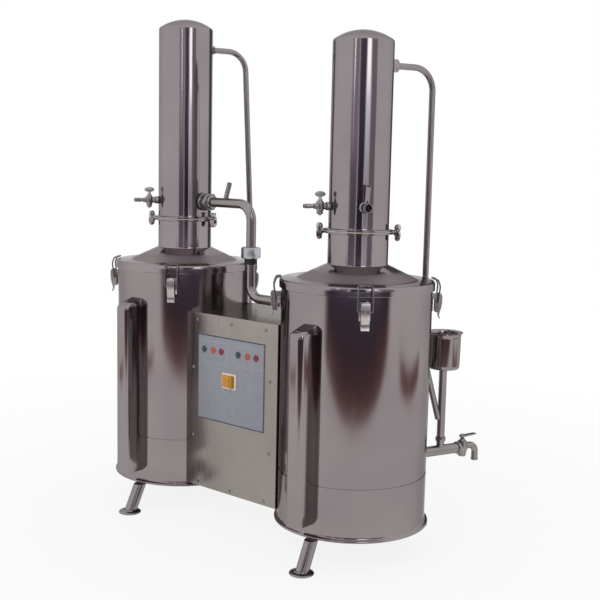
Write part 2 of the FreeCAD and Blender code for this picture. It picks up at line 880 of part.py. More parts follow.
def tap_lever():
    # The plug, its nut below the barrel and the flat handle that leans up and outwards.
    low = drain_z - tap_barrel_half_height - seat_gap - tap_nut_height
    high = drain_z + tap_barrel_half_height + seat_gap + tap_lever_thickness
    plug = rod(V(tap_reach, 0, low), up, tap_plug_radius, high - low)
    nut = hexagon(V(tap_reach, 0, low), up, tap_nut_flats, tap_nut_height)
    way = rod(V(0, 0, drain_z), out, tap_bore_radius, tap_end_reach)
    slope = math.radians(tap_lever_lean)
    level = V(tap_reach, 0, drain_z + tap_barrel_half_height + seat_gap)
    flat = tap_plug_radius + overrun
    knee = level + out * flat
    tip = knee + (out * math.cos(slope) + up * math.sin(slope)) * tap_lever_length
    lift = up * tap_lever_thickness
    outline = [level - out * flat, knee, tip, tip + lift, knee + lift, level - out * flat + lift]
    handle = extrude([point - V(0, tap_lever_width / 2, 0) for point in outline], V(0, tap_lever_width, 0))
    return fuse([plug, nut, handle]).cut(way)


def petcock_body(height):
    # Hexagon, body, barrel for the key and a ribbed hose tail.
    start = V(tower_radius, 0, height)
    hexagonal = hexagon(start, out, petcock_hex_flats, petcock_hex_length)
    body = rod(start, out, petcock_body_radius, petcock_reach - tower_radius)
    barrel = rod(V(petcock_reach, 0, height - petcock_barrel_half_height), up, petcock_barrel_radius,
                 petcock_barrel_half_height + petcock_barrel_half_height)
    tail = rod(V(petcock_reach, 0, height), out, barb_root_radius, petcock_tip_reach - petcock_reach)
    barb = cylinder(V(petcock_tip_reach - barb_length, 0, height), out, barb_radius, barb_length)
    pieces = [hexagonal, body, barrel, tail, barb]
    bore = rod(V(tower_radius - overrun, 0, height), out, petcock_bore_radius,
               petcock_tip_reach - tower_radius + overrun + overrun)
    plug_room = rod(V(petcock_reach, 0, height - petcock_barrel_half_height - overrun), up,
                    round_room(petcock_plug_radius),
                    petcock_barrel_half_height + petcock_barrel_half_height + overrun + overrun)
    tower_room = cylinder(V(), up, tower_radius + seat_gap, height + height)
    return fuse(pieces).cut(bore).cut(plug_room).cut(tower_room)


def petcock_key(height):
    # The plug with its butterfly grip above and its nut below.
    low = height - petcock_barrel_half_height - seat_gap - key_nut_height
    plug = rod(V(petcock_reach, 0, low), up, petcock_plug_radius, height + key_lift - low + overrun)
    nut = hexagon(V(petcock_reach, 0, low), up, key_nut_flats, key_nut_height)
    way = rod(V(0, 0, height), out, petcock_bore_radius, petcock_tip_reach)
    half = key_width / 2
    base = V(petcock_reach, -key_thickness / 2, height + key_lift)
    wing = [
        base + V(-half * key_waist_share, 0, 0),
        base + V(half * key_waist_share, 0, 0),
        base + V(half, 0, key_height * key_waist_share),
        base + V(half * key_shoulder_share, 0, key_height),
        base + V(0, 0, key_height * key_shoulder_share),
        base + V(-half * key_shoulder_share, 0, key_height),
        base + V(-half, 0, key_height * key_waist_share),
    ]
    grip = extrude(wing, V(0, key_thickness, 0))
    return fuse([plug, nut, grip]).cut(way)


cups = []
drains = []
taps = []
petcocks = []
for unit, centre in sides.items():
    nodes["overflow_pipe_" + unit] = place(overflow(unit), overflow_angle, centre)
    cups.append(place(level_cup(), overflow_angle, centre))
    drains.append(place(drain_pipe(), overflow_angle, centre))
    taps.append(place(tap_body(), overflow_angle, centre))
    petcocks.append(place(petcock_body(petcock_heights[unit]), petcock_angle, centre))
    nodes["tap_lever_" + unit] = place(tap_lever(), overflow_angle, centre)
    nodes["petcock_key_" + unit] = place(petcock_key(petcock_heights[unit]), petcock_angle, centre)
nodes["level_cups"] = Part.makeCompound(cups)
nodes["drain_pipes"] = Part.makeCompound(drains)
nodes["tap_bodies"] = Part.makeCompound(taps)
nodes["petcock_bodies"] = Part.makeCompound(petcocks)


def swing_bolt():
    # An eye on a cross pin, with a shank that stands up through the open slot.
    half = bolt_eye_width / 2
    eye = hexagon(V(bolt_pitch_radius, -half, bolt_pin_z), V(0, 1, 0),
                  bolt_eye_radius + bolt_eye_radius, bolt_eye_width)
    shank = rod(V(bolt_pitch_radius, 0, bolt_pin_z), up, bolt_shank_radius, bolt_tip_z - bolt_pin_z)
    pin_half = half + seat_gap + fork_ear_thickness
    pin = rod(V(bolt_pitch_radius, -pin_half, bolt_pin_z), V(0, 1, 0), bolt_pin_radius, pin_half + pin_half)
    return fuse([eye, shank, pin])


def wing_nut():
    spot = V(bolt_pitch_radius, 0, nut_z)
    base = hexagon(spot, up, nut_base_radius + nut_base_radius, nut_base_height)
    inner = bolt_shank_radius + fit_gap
    wings = []
    for side in (-1, 1):
        outline = [
            V(0, side * (inner - fit_gap), nut_z + nut_base_height / 2),
            V(0, side * nut_base_radius, nut_z + nut_base_height / 2),
            V(0, side * wing_half_span, nut_z + nut_base_height),
            V(0, side * wing_half_span, nut_z + nut_base_height + wing_rise),
            V(0, side * (wing_half_span - wing_rise / 2), nut_z + nut_base_height + wing_rise),
            V(0, side * (inner - fit_gap), nut_z + nut_base_height),
        ]
        start_x = bolt_pitch_radius - wing_thickness / 2
        wings.append(extrude([point + V(start_x, 0, 0) for point in outline], V(wing_thickness, 0, 0)))
    bore = rod(spot - up * overrun, up, round_room(bolt_shank_radius),
               nut_base_height + wing_rise + overrun + overrun)
    return fuse([base] + wings).cut(bore)


bolt_names = {"right": ("front", "rear"), "left": ("rear", "front")}
for unit, centre in sides.items():
    for place_name, angle in zip(bolt_names[unit], bolt_angles[unit]):
        nodes["swing_bolt_%s_%s" % (unit, place_name)] = place(swing_bolt(), angle, centre)
        nodes["wing_nut_%s_%s" % (unit, place_name)] = place(wing_nut(), angle, centre)


def latch_base():
    # A plate on the wall, two ears and the fulcrum pin of the lever.
    inner = tank_radius + seat_gap
    face = inner + latch_plate_thickness
    plate = block(V(inner, -latch_plate_width / 2, latch_plate_bottom_z),
                  V(face, latch_plate_width / 2, latch_plate_top_z))
    pieces = [plate]
    ear_inner = latch_ear_half_width - latch_ear_thickness
    for side in (-1, 1):
        outline = [
            V(inner, side * ear_inner, fulcrum_z - latch_ear_below),
            V(fulcrum_reach, side * ear_inner, fulcrum_z - latch_ear_below / 2),
            V(fulcrum_reach + latch_ear_beyond, side * ear_inner, fulcrum_z),
            V(fulcrum_reach, side * ear_inner, fulcrum_z + latch_ear_above / 2),
            V(inner, side * ear_inner, latch_plate_top_z),
        ]
        pieces.append(extrude(outline, V(0, side * latch_ear_thickness, 0)))
    pin_half = lever_half_width - fit_gap
    pieces.append(rod(V(fulcrum_reach, -pin_half, fulcrum_z), V(0, 1, 0), fulcrum_pin_radius,
                      pin_half + pin_half))
    return fuse(pieces)


def latch_lever():
    # A channel with its web outwards; the web runs on below the cheeks as a kicked lip.
    web = [
        V(fulcrum_reach + lever_head_beyond, 0, fulcrum_z + latch_ear_above),
        V(fulcrum_reach + lever_belly, 0, fulcrum_z),
        V(fulcrum_reach + lever_belly, 0, pivot_z),
        V(fulcrum_reach + lever_waist, 0, lever_kick_z),
        V(fulcrum_reach + lever_lip, 0, lever_tip_z),
    ]
    wall = V(-lever_wall, 0, 0)
    half = V(0, lever_half_width, 0)
    strip = extrude([point - half for point in web] + [point + wall - half for point in reversed(web)],
                    half + half)
    cheek_back = [
        V(pivot_reach - lever_cheek_margin, 0, lever_kick_z + lever_cheek_margin),
        V(pivot_reach - lever_cheek_margin, 0, fulcrum_z),
        V(fulcrum_reach - lever_cheek_margin, 0, fulcrum_z + latch_ear_above),
    ]
    pieces = [strip]
    for side in (-1, 1):
        offset = V(0, side * (lever_half_width - lever_wall), 0)
        outline = [point + offset for point in web[:-1] + cheek_back]
        pieces.append(extrude(outline, V(0, side * lever_wall, 0)))
    holes = []
    for reach, height, radius in ((fulcrum_reach, fulcrum_z, fulcrum_pin_radius),
                                  (pivot_reach, pivot_z, bail_wire_radius)):
        holes.append(rod(V(reach, -lever_half_width - overrun, height), V(0, 1, 0), round_room(radius),
                         lever_half_width + lever_half_width + overrun + overrun))
    return fuse(pieces).cut(Part.makeCompound(holes))


def latch_bail():
    # A bent wire: two turned-in ends, two legs that bow out round the rim, and the bar on the lid.
    wire_inset = bail_half_width - bail_wire_radius
    end = latch_ear_half_width + seat_gap
    side_points = [
        V(pivot_reach, end, pivot_z),
        V(pivot_reach, wire_inset, pivot_z),
        V(bail_bulge_reach, wire_inset, bail_bulge_z),
        V(bail_shoulder_reach, wire_inset, bail_shoulder_z),
        V(bail_bar_reach, wire_inset, bail_bar_z),
    ]
    mirrored = [V(point.x, -point.y, point.z) for point in reversed(side_points)]
    path = Part.makePolygon(side_points + mirrored)
    corners = []
    for step in range(bail_wire_sides):
        angle = 2 * math.pi * (step + 1 / 2) / bail_wire_sides
        corners.append(side_points[0] + V(bail_wire_radius * math.cos(angle), 0, bail_wire_radius * math.sin(angle)))
    section = Part.makePolygon(corners + [corners[0]])
    return path.makePipeShell([section], True, False, 1)


bases = []
for unit, centre in sides.items():
    for step in range(latch_count):
        angle = latch_starts[unit] + full_turn * step / latch_count
        bases.append(place(latch_base(), angle, centre))
        nodes["latch_lever_%s_%d" % (unit, step + 1)] = place(latch_lever(), angle, centre)
        nodes["latch_bail_%s_%d" % (unit, step + 1)] = place(latch_bail(), angle, centre)
nodes["latch_bases"] = Part.makeCompound(bases)

# The finished part stands with the middle of its footprint box at the origin.
whole = Part.makeCompound(list(nodes.values())).optimalBoundingBox(False)
SHIFT = V(-(whole.XMin + whole.XMax) / 2, -(whole.YMin + whole.YMax) / 2, -whole.ZMin)
for name, shape in nodes.items():
    shape.translate(SHIFT)
    shape.exportStep("parts/" + name + ".step")
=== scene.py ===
import math

import bpy
from mathutils import Matrix, Vector


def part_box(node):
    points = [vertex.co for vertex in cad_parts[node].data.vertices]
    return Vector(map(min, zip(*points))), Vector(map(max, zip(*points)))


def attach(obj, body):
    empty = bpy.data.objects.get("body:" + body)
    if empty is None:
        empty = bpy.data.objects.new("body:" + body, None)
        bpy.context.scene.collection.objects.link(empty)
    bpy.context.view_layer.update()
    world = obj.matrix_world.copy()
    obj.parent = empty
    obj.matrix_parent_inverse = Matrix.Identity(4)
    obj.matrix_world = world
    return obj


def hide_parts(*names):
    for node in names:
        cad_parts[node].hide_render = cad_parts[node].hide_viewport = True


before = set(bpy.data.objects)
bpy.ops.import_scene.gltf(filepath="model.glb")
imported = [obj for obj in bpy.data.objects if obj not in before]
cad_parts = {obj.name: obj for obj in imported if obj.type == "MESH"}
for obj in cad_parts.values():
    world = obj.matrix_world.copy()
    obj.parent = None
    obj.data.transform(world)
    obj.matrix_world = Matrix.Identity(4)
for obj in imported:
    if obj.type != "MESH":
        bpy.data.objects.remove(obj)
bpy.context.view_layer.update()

# Lengths below are in millimetres; this turns them into the frame's metres.
MM = 0.001
UP = Vector((0, 0, 1))
OUT = Vector((1, 0, 0))
ACROSS = Vector((0, 1, 0))
UNITS = ("right", "left")

tank_axis = {}
for unit in UNITS:
    low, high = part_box("tank_" + unit)
    tank_axis[unit] = Vector(((low.x + high.x) / 2, (low.y + high.y) / 2, 0))
bench_line = Vector((0, tank_axis["right"].y, 0))

# Heights and angles at which the two stills differ.
tower_top = {"right": 1011.0, "left": 1064.0}
bolt_angles = {"right": {"front": -144.0, "rear": 36.0}, "left": {"rear": -146.0, "front": 12.0}}
latch_start = {"right": -46.5, "left": -53.0}
petcock_height = {"right": 690.0, "left": 682.0}
overflow_height = {"right": 965.0, "left": 1020.0}
OVERFLOW_ANGLE = 70.0
PETCOCK_ANGLE = -120.0
OUTLET_ANGLE = -41.0
LATCHES = 4

# Places that several pieces share. A reach is taken from a tank's axis and a height from the floor.
TANK_BASE = 57.0
BOLT_REACH = 77.0
BOLT_HEIGHT = 629.0
TOWER_FOOT = 642.5
OUTLET_HEIGHT = 690.0
TRANSFER_HEIGHT = 681.0
TRANSFER_DROP = -41.0
OVERFLOW_REACH = 167.0
DRAIN_HEIGHT = 170.0
CUP_REACH = 222.0
TAP_REACH = 281.0
KEY_REACH = 82.0
PANEL_FACE = -100.0
SWITCH_X = -2.5
SWITCH_Z = 314.0
VENT_LEAN = math.radians(18.0)
VENT_HEADING = (math.sin(VENT_LEAN), 0, math.cos(VENT_LEAN))
QUARTER_TURN = math.pi / 2
MERGE_DISTANCE = 0.000001


def deselect():
    if bpy.context.mode != "OBJECT":
        bpy.ops.object.mode_set(mode="OBJECT")
    bpy.ops.object.select_all(action="DESELECT")


def choose(piece):
    deselect()
    piece.select_set(True)
    bpy.context.view_layer.objects.active = piece


def settle(name):
    # Names the piece just added and moves its placing into its mesh.
    piece = bpy.context.object
    piece.name = name
    piece.data.name = name
    bpy.ops.object.transform_apply(location=True, rotation=True, scale=True)
    return piece


def edit(piece):
    choose(piece)
    bpy.ops.object.mode_set(mode="EDIT")
    bpy.ops.mesh.select_mode(type="VERT")
    bpy.ops.mesh.select_all(action="SELECT")


def push(travel):
    bpy.ops.mesh.extrude_region_move(TRANSFORM_OT_translate={"value": tuple(travel)})


def close_up(cap=True):
    # Merges doubles, caps open ends and turns the faces outwards, then leaves edit mode.
    bpy.ops.mesh.select_all(action="SELECT")
    bpy.ops.mesh.remove_doubles(threshold=MERGE_DISTANCE)
    if cap:
        bpy.ops.mesh.select_all(action="SELECT")
        bpy.ops.mesh.fill_holes(sides=0)
    bpy.ops.mesh.select_all(action="SELECT")
    bpy.ops.mesh.normals_make_consistent(inside=False)
    bpy.ops.object.mode_set(mode="OBJECT")


def turned(name, profile, sides, cap=True):
    # A round piece about Z: a ring is extruded and resized through (radius, height) pairs.
    deselect()
    radius, height = profile[0]
    bpy.ops.mesh.primitive_circle_add(vertices=sides, radius=radius * MM, location=(0, 0, height * MM))
    piece = settle(name)
    edit(piece)
    for radius_to, height_to in profile[1:]:
        push((0, 0, (height_to - height) * MM))
        height = height_to
        if radius_to:
            share = radius_to / radius
            bpy.ops.transform.resize(value=(share, share, 1), center_override=(0, 0, height * MM))
            radius = radius_to
        else:
            bpy.ops.mesh.merge(type="CENTER")
    close_up(cap)
    return piece


def tube(name, corners, bends, radius, sides, steps):
    # A round pipe along straight runs, with an arc of the given bend radius at each inner corner.
    # steps is how many faces a quarter turn gets along its arc.
    points = [Vector(corner) * MM for corner in corners]
    heading = (points[1] - points[0]).normalized()
    turn = heading.to_track_quat("Z", "Y").to_euler()
    deselect()
    bpy.ops.mesh.primitive_circle_add(vertices=sides, radius=radius * MM, location=points[0], rotation=turn)
    piece = settle(name)
    edit(piece)
    at = points[0]
    for corner, after, bend in zip(points[1:], points[2:], bends):
        into = (corner - at).normalized()
        away = (after - corner).normalized()
        turn = into.angle(away)
        setback = bend * MM * math.tan(turn / 2)
        start = corner - into * setback
        push(start - at)
        axis = into.cross(away).normalized()
        hub = start + axis.cross(into) * (bend * MM)
        cuts = max(2, round(steps * turn / QUARTER_TURN))
        bpy.ops.mesh.spin(steps=cuts, angle=-turn, center=hub, axis=axis)
        at = corner + away * setback
    push(points[-1] - at)
    close_up()
    return piece


def plate(name, outline, travel):
    # A flat piece: a face through the outline's corners, pushed out by travel.
    deselect()
    bpy.ops.mesh.primitive_circle_add(vertices=len(outline), radius=MM, fill_type="NGON")
    piece = settle(name)
    for vertex, corner in zip(piece.data.vertices, outline):
        vertex.co = Vector(corner) * MM
    edit(piece)
    push(Vector(travel) * MM)
    close_up()
    return piece


def slab(name, low, high):
    low = Vector(low) * MM
    high = Vector(high) * MM
    deselect()
    bpy.ops.mesh.primitive_cube_add(size=1, location=(low + high) / 2, scale=high - low)
    return settle(name)


def finish_with(piece, modifier):
    choose(piece)
    bpy.ops.object.modifier_apply(modifier=modifier.name)


def eased(piece, width, segments, angle=30):
    # Rounds the edges that turn by more than the angle.
    bevel = piece.modifiers.new("Eased edges", "BEVEL")
    bevel.width = width * MM
    bevel.segments = segments
    bevel.limit_method = "ANGLE"
    bevel.angle_limit = math.radians(angle)
    finish_with(piece, bevel)
    return piece


def carved(piece, cutter):
    cut = piece.modifiers.new("Cut", "BOOLEAN")
    cut.operation = "DIFFERENCE"
    cut.solver = "EXACT"
    cut.object = cutter
    finish_with(piece, cut)
    bpy.data.objects.remove(cutter)
    return piece


def linked(thing):
    bpy.context.scene.collection.objects.link(thing)
    return thing


def joined(name, pieces):
    deselect()
    for piece in pieces:
        piece.select_set(True)
    bpy.context.view_layer.objects.active = pieces[0]
    if len(pieces) > 1:
        bpy.ops.object.join()
    pieces[0].name = name
    pieces[0].data.name = name
    return pieces[0]


def vessel(name, outer, inner, sides):
    # A walled round form: the outer and inner skins share their first ring.
    piece = joined(name, [turned(name, outer, sides, False), turned("skin", inner, sides, False)])
    edit(piece)
    close_up(False)
    return piece


def another(piece, name):
    copy = piece.copy()
    copy.data = piece.data.copy()
    copy.name = name
    copy.data.name = name
    return linked(copy)


def laid(piece, base, heading):
    # A piece turned about +Z is laid along another heading, with its foot at base.
    turn = UP.rotation_difference(Vector(heading)).to_matrix().to_4x4()
    piece.data.transform(Matrix.Translation(Vector(base) * MM) @ turn)
    return piece


def spun(piece, angle):
    piece.data.transform(Matrix.Rotation(math.radians(angle), 4, "Z"))
    return piece


def stood(piece, unit, angle=0.0):
    # From a tank's own axis to its place in the frame.
    spun(piece, angle).data.transform(Matrix.Translation(tank_axis[unit]))
    return piece


def on_bench(piece):
    # From the middle between the tanks to its place in the frame.
    piece.data.transform(Matrix.Translation(bench_line))
    return piece


def dressed(piece, body, material, slot, *replaced, smooth=35):
    # Gives a piece its finish and shading and the body it rides on, and hides the CAD nodes it replaces.
    piece.data.materials.clear()
    piece.data.materials.append(material)
    choose(piece)
    bpy.ops.object.shade_smooth_by_angle(angle=math.radians(smooth))
    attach(piece, body)
    if replaced:
        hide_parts(*replaced)


def refinished(name, material):
    # A finish for a CAD node that no visual piece replaces.
    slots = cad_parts[name].data.materials
    for index in range(len(slots)):
        slots[index] = material


def hex_nut(name, flats, length, chamfer):
    # A hexagon bar end with its corners turned off at both faces.
    deselect()
    corner = flats / math.sqrt(3)
    face = flats / 2 - 0.3
    clear = corner + 0.2
    bpy.ops.mesh.primitive_cylinder_add(vertices=6, radius=corner * MM, depth=length * MM,
                                        location=(0, 0, length * MM / 2))
    nut = settle(name)
    blank = turned("blank", [(face, 0), (clear, chamfer), (clear, length - chamfer), (face, length)], 48)
    meet = nut.modifiers.new("Turned corners", "BOOLEAN")
    meet.operation = "INTERSECT"
    meet.solver = "EXACT"
    meet.object = blank
    finish_with(nut, meet)
    bpy.data.objects.remove(blank)
    return eased(nut, 0.25, 1)


# Finishes

EVENLY = (1, 1, 1)


def new_material(name):
    material = bpy.data.materials.new(name)
    material.use_nodes = True
    nodes = material.node_tree.nodes
    return material, nodes, material.node_tree.links, nodes["Principled BSDF"]


def add_node(nodes, kind, **settings):
    node = nodes.new(kind)
    for name, value in settings.items():
        if hasattr(node, name):
            setattr(node, name, value)
        else:
            node.inputs[name.replace("_", " ")].default_value = value
    return node


def stretched(nodes, links, scale):
    # Object coordinates drawn out by a scale for each axis.
    place = add_node(nodes, "ShaderNodeTexCoord")
    mapping = add_node(nodes, "ShaderNodeMapping", Scale=scale)
    links.new(place.outputs["Object"], mapping.inputs["Vector"])
    return mapping.outputs["Vector"]


def noise(nodes, links, stretch, scale, detail):
    node = add_node(nodes, "ShaderNodeTexNoise", Scale=scale, Detail=detail, Roughness=0.5)
    links.new(stretched(nodes, links, stretch), node.inputs["Vector"])
    return node.outputs["Fac"]


def ranged(nodes, links, value, low, high, from_low=0.35, from_high=0.65):
    # Maps the span from_low to from_high onto low to high and holds it there outside the span.
    node = add_node(nodes, "ShaderNodeMapRange", From_Min=from_low, From_Max=from_high,
                    To_Min=low, To_Max=high)
    links.new(value, node.inputs["Value"])
    return node.outputs["Result"]


def tinted(nodes, links, value, dark, light):
    ramp = add_node(nodes, "ShaderNodeValToRGB")
    for stop, position, colour in zip(ramp.color_ramp.elements, (0.3, 0.7), (dark, light)):
        stop.position = position
        stop.color = (*colour, 1)
    links.new(value, ramp.inputs["Fac"])
    return ramp.outputs["Color"]


def combined(nodes, links, operation, first, second):
    # A math node whose two sides are sockets or plain numbers.
    node = add_node(nodes, "ShaderNodeMath", operation=operation)
    for slot, value in enumerate((first, second)):
        if isinstance(value, float):
            node.inputs[slot].default_value = value
        else:
            links.new(value, node.inputs[slot])
    return node.outputs["Value"]


def mixed(nodes, links, share, first, second):
    node = add_node(nodes, "ShaderNodeMixShader")
    for slot, socket in enumerate((share, first, second)):
        links.new(socket, node.inputs[slot])
    return node.outputs["Shader"]


def steel(name, dark, light, gloss, grain, ripple, ripple_depth):
    # Stainless sheet or bar. gloss is its low and high roughness, grain the stretch of the polishing
    # lines, ripple the size of the sheet's slow waves per metre and ripple_depth their depth in mm.
    material, nodes, links, shader = new_material(name)
    lines = noise(nodes, links, grain, 1.0, 3.0)
    clouds = noise(nodes, links, EVENLY, 7.0, 2.0)
    waves = noise(nodes, links, (ripple, ripple, ripple * 0.35), 1.0, 1.0)
    links.new(tinted(nodes, links, clouds, dark, light), shader.inputs["Base Color"])
    links.new(ranged(nodes, links, lines, *gloss), shader.inputs["Roughness"])
    slow = add_node(nodes, "ShaderNodeBump", Strength=1.0, Distance=ripple_depth * MM)
    links.new(waves, slow.inputs["Height"])
    fine = add_node(nodes, "ShaderNodeBump", Strength=0.12, Distance=0.04 * MM)
    links.new(lines, fine.inputs["Height"])
    links.new(slow.outputs["Normal"], fine.inputs["Normal"])
    links.new(fine.outputs["Normal"], shader.inputs["Normal"])
    shader.inputs["Metallic"].default_value = 1.0
    shader.inputs["Specular Tint"].default_value = (0.55, 0.53, 0.53, 1)
    return material


def satin_between(material, low, high, more):
    # Adds more roughness between two heights in mm. Below it changes over 2 mm and above over 6 mm.
    nodes = material.node_tree.nodes
    links = material.node_tree.links
    rough = nodes["Principled BSDF"].inputs["Roughness"]
    place = add_node(nodes, "ShaderNodeTexCoord")
    split = add_node(nodes, "ShaderNodeSeparateXYZ")
    links.new(place.outputs["Object"], split.inputs["Vector"])
    height = split.outputs["Z"]
    above = ranged(nodes, links, height, 0.0, 1.0, low * MM, (low + 2) * MM)
    below = ranged(nodes, links, height, 0.0, 1.0, (high + 6) * MM, high * MM)
    between = combined(nodes, links, "MULTIPLY", above, below)
    added = combined(nodes, links, "MULTIPLY", between, more)
    links.new(combined(nodes, links, "ADD", added, rough.links[0].from_socket), rough)


def moulded(name, dark, light, rough, glow=None):
    # Plastic, rubber or paint. rough is its low and high roughness and glow an inner light's colour.
    material, nodes, links, shader = new_material(name)
    clouds = noise(nodes, links, EVENLY, 60.0, 2.0)
    fine = noise(nodes, links, EVENLY, 900.0, 2.0)
    links.new(tinted(nodes, links, clouds, dark, light), shader.inputs["Base Color"])
    links.new(ranged(nodes, links, fine, *rough), shader.inputs["Roughness"])
    bump = add_node(nodes, "ShaderNodeBump", Strength=0.2, Distance=0.05 * MM)
    links.new(fine, bump.inputs["Height"])
    links.new(bump.outputs["Normal"], shader.inputs["Normal"])
    if glow:
        shader.inputs["Emission Color"].default_value = (*glow, 1)
        shader.inputs["Emission Strength"].default_value = 0.08
    return material


tank_sheet = steel("Polished tank sheet", (0.255, 0.222, 0.23), (0.30, 0.262, 0.268), (0.09, 0.15),
                   (30, 30, 3), 9.0, 2.0)
lid_sheet = steel("Lid sheet", (0.265, 0.232, 0.24), (0.31, 0.272, 0.278), (0.09, 0.15),
                  (30, 30, 3), 9.0, 1.2)
satin_between(lid_sheet, 547.6, 561.0, 0.36)
tower_sheet = steel("Polished tower tube", (0.26, 0.232, 0.24), (0.30, 0.268, 0.275), (0.08, 0.14),
                    (90, 90, 2), 14.0, 1.0)
pipe_finish = steel("Polished pipe", (0.25, 0.225, 0.225), (0.31, 0.28, 0.28), (0.16, 0.26), (120, 120, 8),
                    30.0, 0.1)
fitting_finish = steel("Turned steel fittings", (0.25, 0.235, 0.23), (0.34, 0.32, 0.31), (0.18, 0.32),
                       (200, 200, 60), 60.0, 0.08)
key_finish = steel("Satin key steel", (0.32, 0.32, 0.315), (0.40, 0.40, 0.39), (0.28, 0.42), (150, 150, 60),
                   60.0, 0.06)
hardware_finish = steel("Stamped steel hardware", (0.44, 0.42, 0.41), (0.58, 0.56, 0.55), (0.2, 0.34),
                        (150, 150, 40), 50.0, 0.08)
wire_finish = steel("Spring wire", (0.16, 0.15, 0.15), (0.24, 0.22, 0.22), (0.22, 0.36), (150, 150, 150),
                    50.0, 0.05)
nut_finish = steel("Zinc plated nut", (0.42, 0.43, 0.46), (0.55, 0.56, 0.6), (0.28, 0.42), (150, 150, 150),
                   60.0, 0.06)
box_sheet = steel("Satin box sheet", (0.28, 0.255, 0.235), (0.325, 0.295, 0.275), (0.2, 0.3), (260, 260, 4),
                  5.0, 0.5)
screw_finish = steel("Screw steel", (0.25, 0.24, 0.24), (0.38, 0.36, 0.36), (0.25, 0.4), (300, 300, 300),
                     60.0, 0.05)
inner_steel = steel("Inner steel", (0.28, 0.26, 0.25), (0.34, 0.31, 0.3), (0.25, 0.35),
                    (90, 90, 6), 20.0, 0.1)
rubber_black = moulded("Black rubber", (0.012, 0.012, 0.013), (0.022, 0.022, 0.023), (0.5, 0.65))
gasket_white = moulded("White silicone gasket", (0.5, 0.48, 0.45), (0.6, 0.58, 0.55), (0.45, 0.6))
cream_plastic = moulded("Cream plastic", (0.78, 0.74, 0.66), (0.84, 0.8, 0.72), (0.3, 0.4))
amber_plastic = moulded("Amber lit plastic", (0.42, 0.17, 0.008), (0.52, 0.25, 0.015), (0.15, 0.25),
                        glow=(0.9, 0.4, 0.03))
lens_green = moulded("Green lens", (0.008, 0.036, 0.034), (0.014, 0.055, 0.05), (0.08, 0.14))
lens_amber = moulded("Orange lens", (0.38, 0.065, 0.035), (0.46, 0.09, 0.045), (0.08, 0.14))
lens_red = moulded("Red lens", (0.19, 0.008, 0.024), (0.25, 0.012, 0.034), (0.08, 0.14))
label_face = moulded("Blue grey label face", (0.27, 0.275, 0.32), (0.30, 0.305, 0.355), (0.35, 0.45))
label_border = moulded("Dark blue label border", (0.022, 0.024, 0.06), (0.035, 0.038, 0.085), (0.3, 0.4))
label_line = moulded("Pale label line", (0.42, 0.4, 0.45), (0.5, 0.48, 0.53), (0.35, 0.45))


# Tanks

def build_tank(unit):
    outer = [
        (148.8, 57), (155.4, 57), (156.4, 57.6), (156.65, 58.8), (156.4, 60.2), (155.2, 61.4),
        (152.4, 62.4), (150.8, 63.6), (150, 66), (150, 68), (150, 159), (150, 160.6), (148.9, 161),
        (148.9, 165.4), (150, 165.8), (150, 167.5), (150, 539.5), (150, 541.4), (149.6, 542.7),
        (148.8, 543), (148.6, 540), (148.6, 164.2), (0, 164.2)]
    inner = [(148.8, 57), (148.8, 163), (0, 163)]
    tank = vessel("tank_shell_" + unit, outer, inner, 144)
    dressed(stood(tank, unit), "root", tank_sheet, "polished_steel", "tank_" + unit)


# Lids

def fork_ears(angle):
    # Two drop-shaped ears under the neck's flange that hold a swing bolt's pin.
    ears = []
    for side in (-1, 1):
        near = side * 3.5
        side_view = [
            (64, 637.2), (70, 636), (72.4, 631.5), (73, 627.5), (75, 624.6), (79, 624.6), (81.6, 627.5),
            (83, 633), (83, 641), (64, 641)]
        outline = [(x, near, z) for x, z in side_view]
        ears.append(spun(eased(plate("ear", outline, (0, side * 4, 0)), 0.5, 2), angle))
    return ears


def build_lid(unit):
    shell = turned("lid", [
        (153.3, 529.6), (153.9, 529.3), (154.5, 530), (154.5, 531.5), (154.5, 539), (154.5, 540.6),
        (154.2, 543), (153.2, 545.2), (151.4, 546.6), (149, 547), (124, 547.3), (119, 548.4), (113, 551),
        (74, 570.4), (62.4, 575.6), (60.6, 576.4), (60, 577.6), (60, 579.5), (60, 634.5), (60, 636.6),
        (60.6, 637), (66.3, 637), (67, 637.7), (67, 640.3), (66.3, 641), (58.8, 641), (58.8, 575.8),
        (73, 569.2), (112, 549.8), (120, 546.4), (149, 545.8), (152, 544.8), (153.3, 542),
        (153.3, 529.6)], 144)
    pieces = [shell]
    for angle in bolt_angles[unit].values():
        pieces += fork_ears(angle)
    lid = joined("lid_shell_" + unit, pieces)
    dressed(stood(lid, unit), "root", lid_sheet, "polished_steel", "lid_" + unit)


# Towers

def tower_cap(top):
    # The pressed dome over the tower, from its rounded shoulder to the crown.
    sphere = 99.25
    crown = top + 18
    rings = [(60, top - 8), (60, top - 6), (59.8, top - 4), (59.1, top - 2.2), (57.9, top - 0.8)]
    for radius in (56.6, 52, 46, 39, 31, 22, 13, 5):
        rings.append((radius, crown - sphere + math.sqrt(sphere ** 2 - radius ** 2)))
    return rings + [(0, crown)]


def slot_lug(angle):
    # A forked lug on the tower's foot flange that a swing bolt drops into.
    outline = [
        (59.4, -10), (79.6, -10), (81.4, -9.3), (82, -7.6), (82, -3.6), (77, -3.6), (74.5, -2.6), (73.4, 0),
        (74.5, 2.6), (77, 3.6), (82, 3.6), (82, 7.6), (81.4, 9.3), (79.6, 10), (59.4, 10)]
    lug = plate("lug", [(x, y, TOWER_FOOT) for x, y in outline], (0, 0, 3))
    return spun(eased(lug, 0.4, 2), angle)


def open_tube(name, length, outer, inner, sides=40):
    wall = outer - inner
    return turned(name, [
        (inner, 0), (outer, 0), (outer, length - wall / 3), (outer - wall / 3, length),
        (inner + wall / 3, length), (inner, length - wall / 3), (inner, 0)], sides)


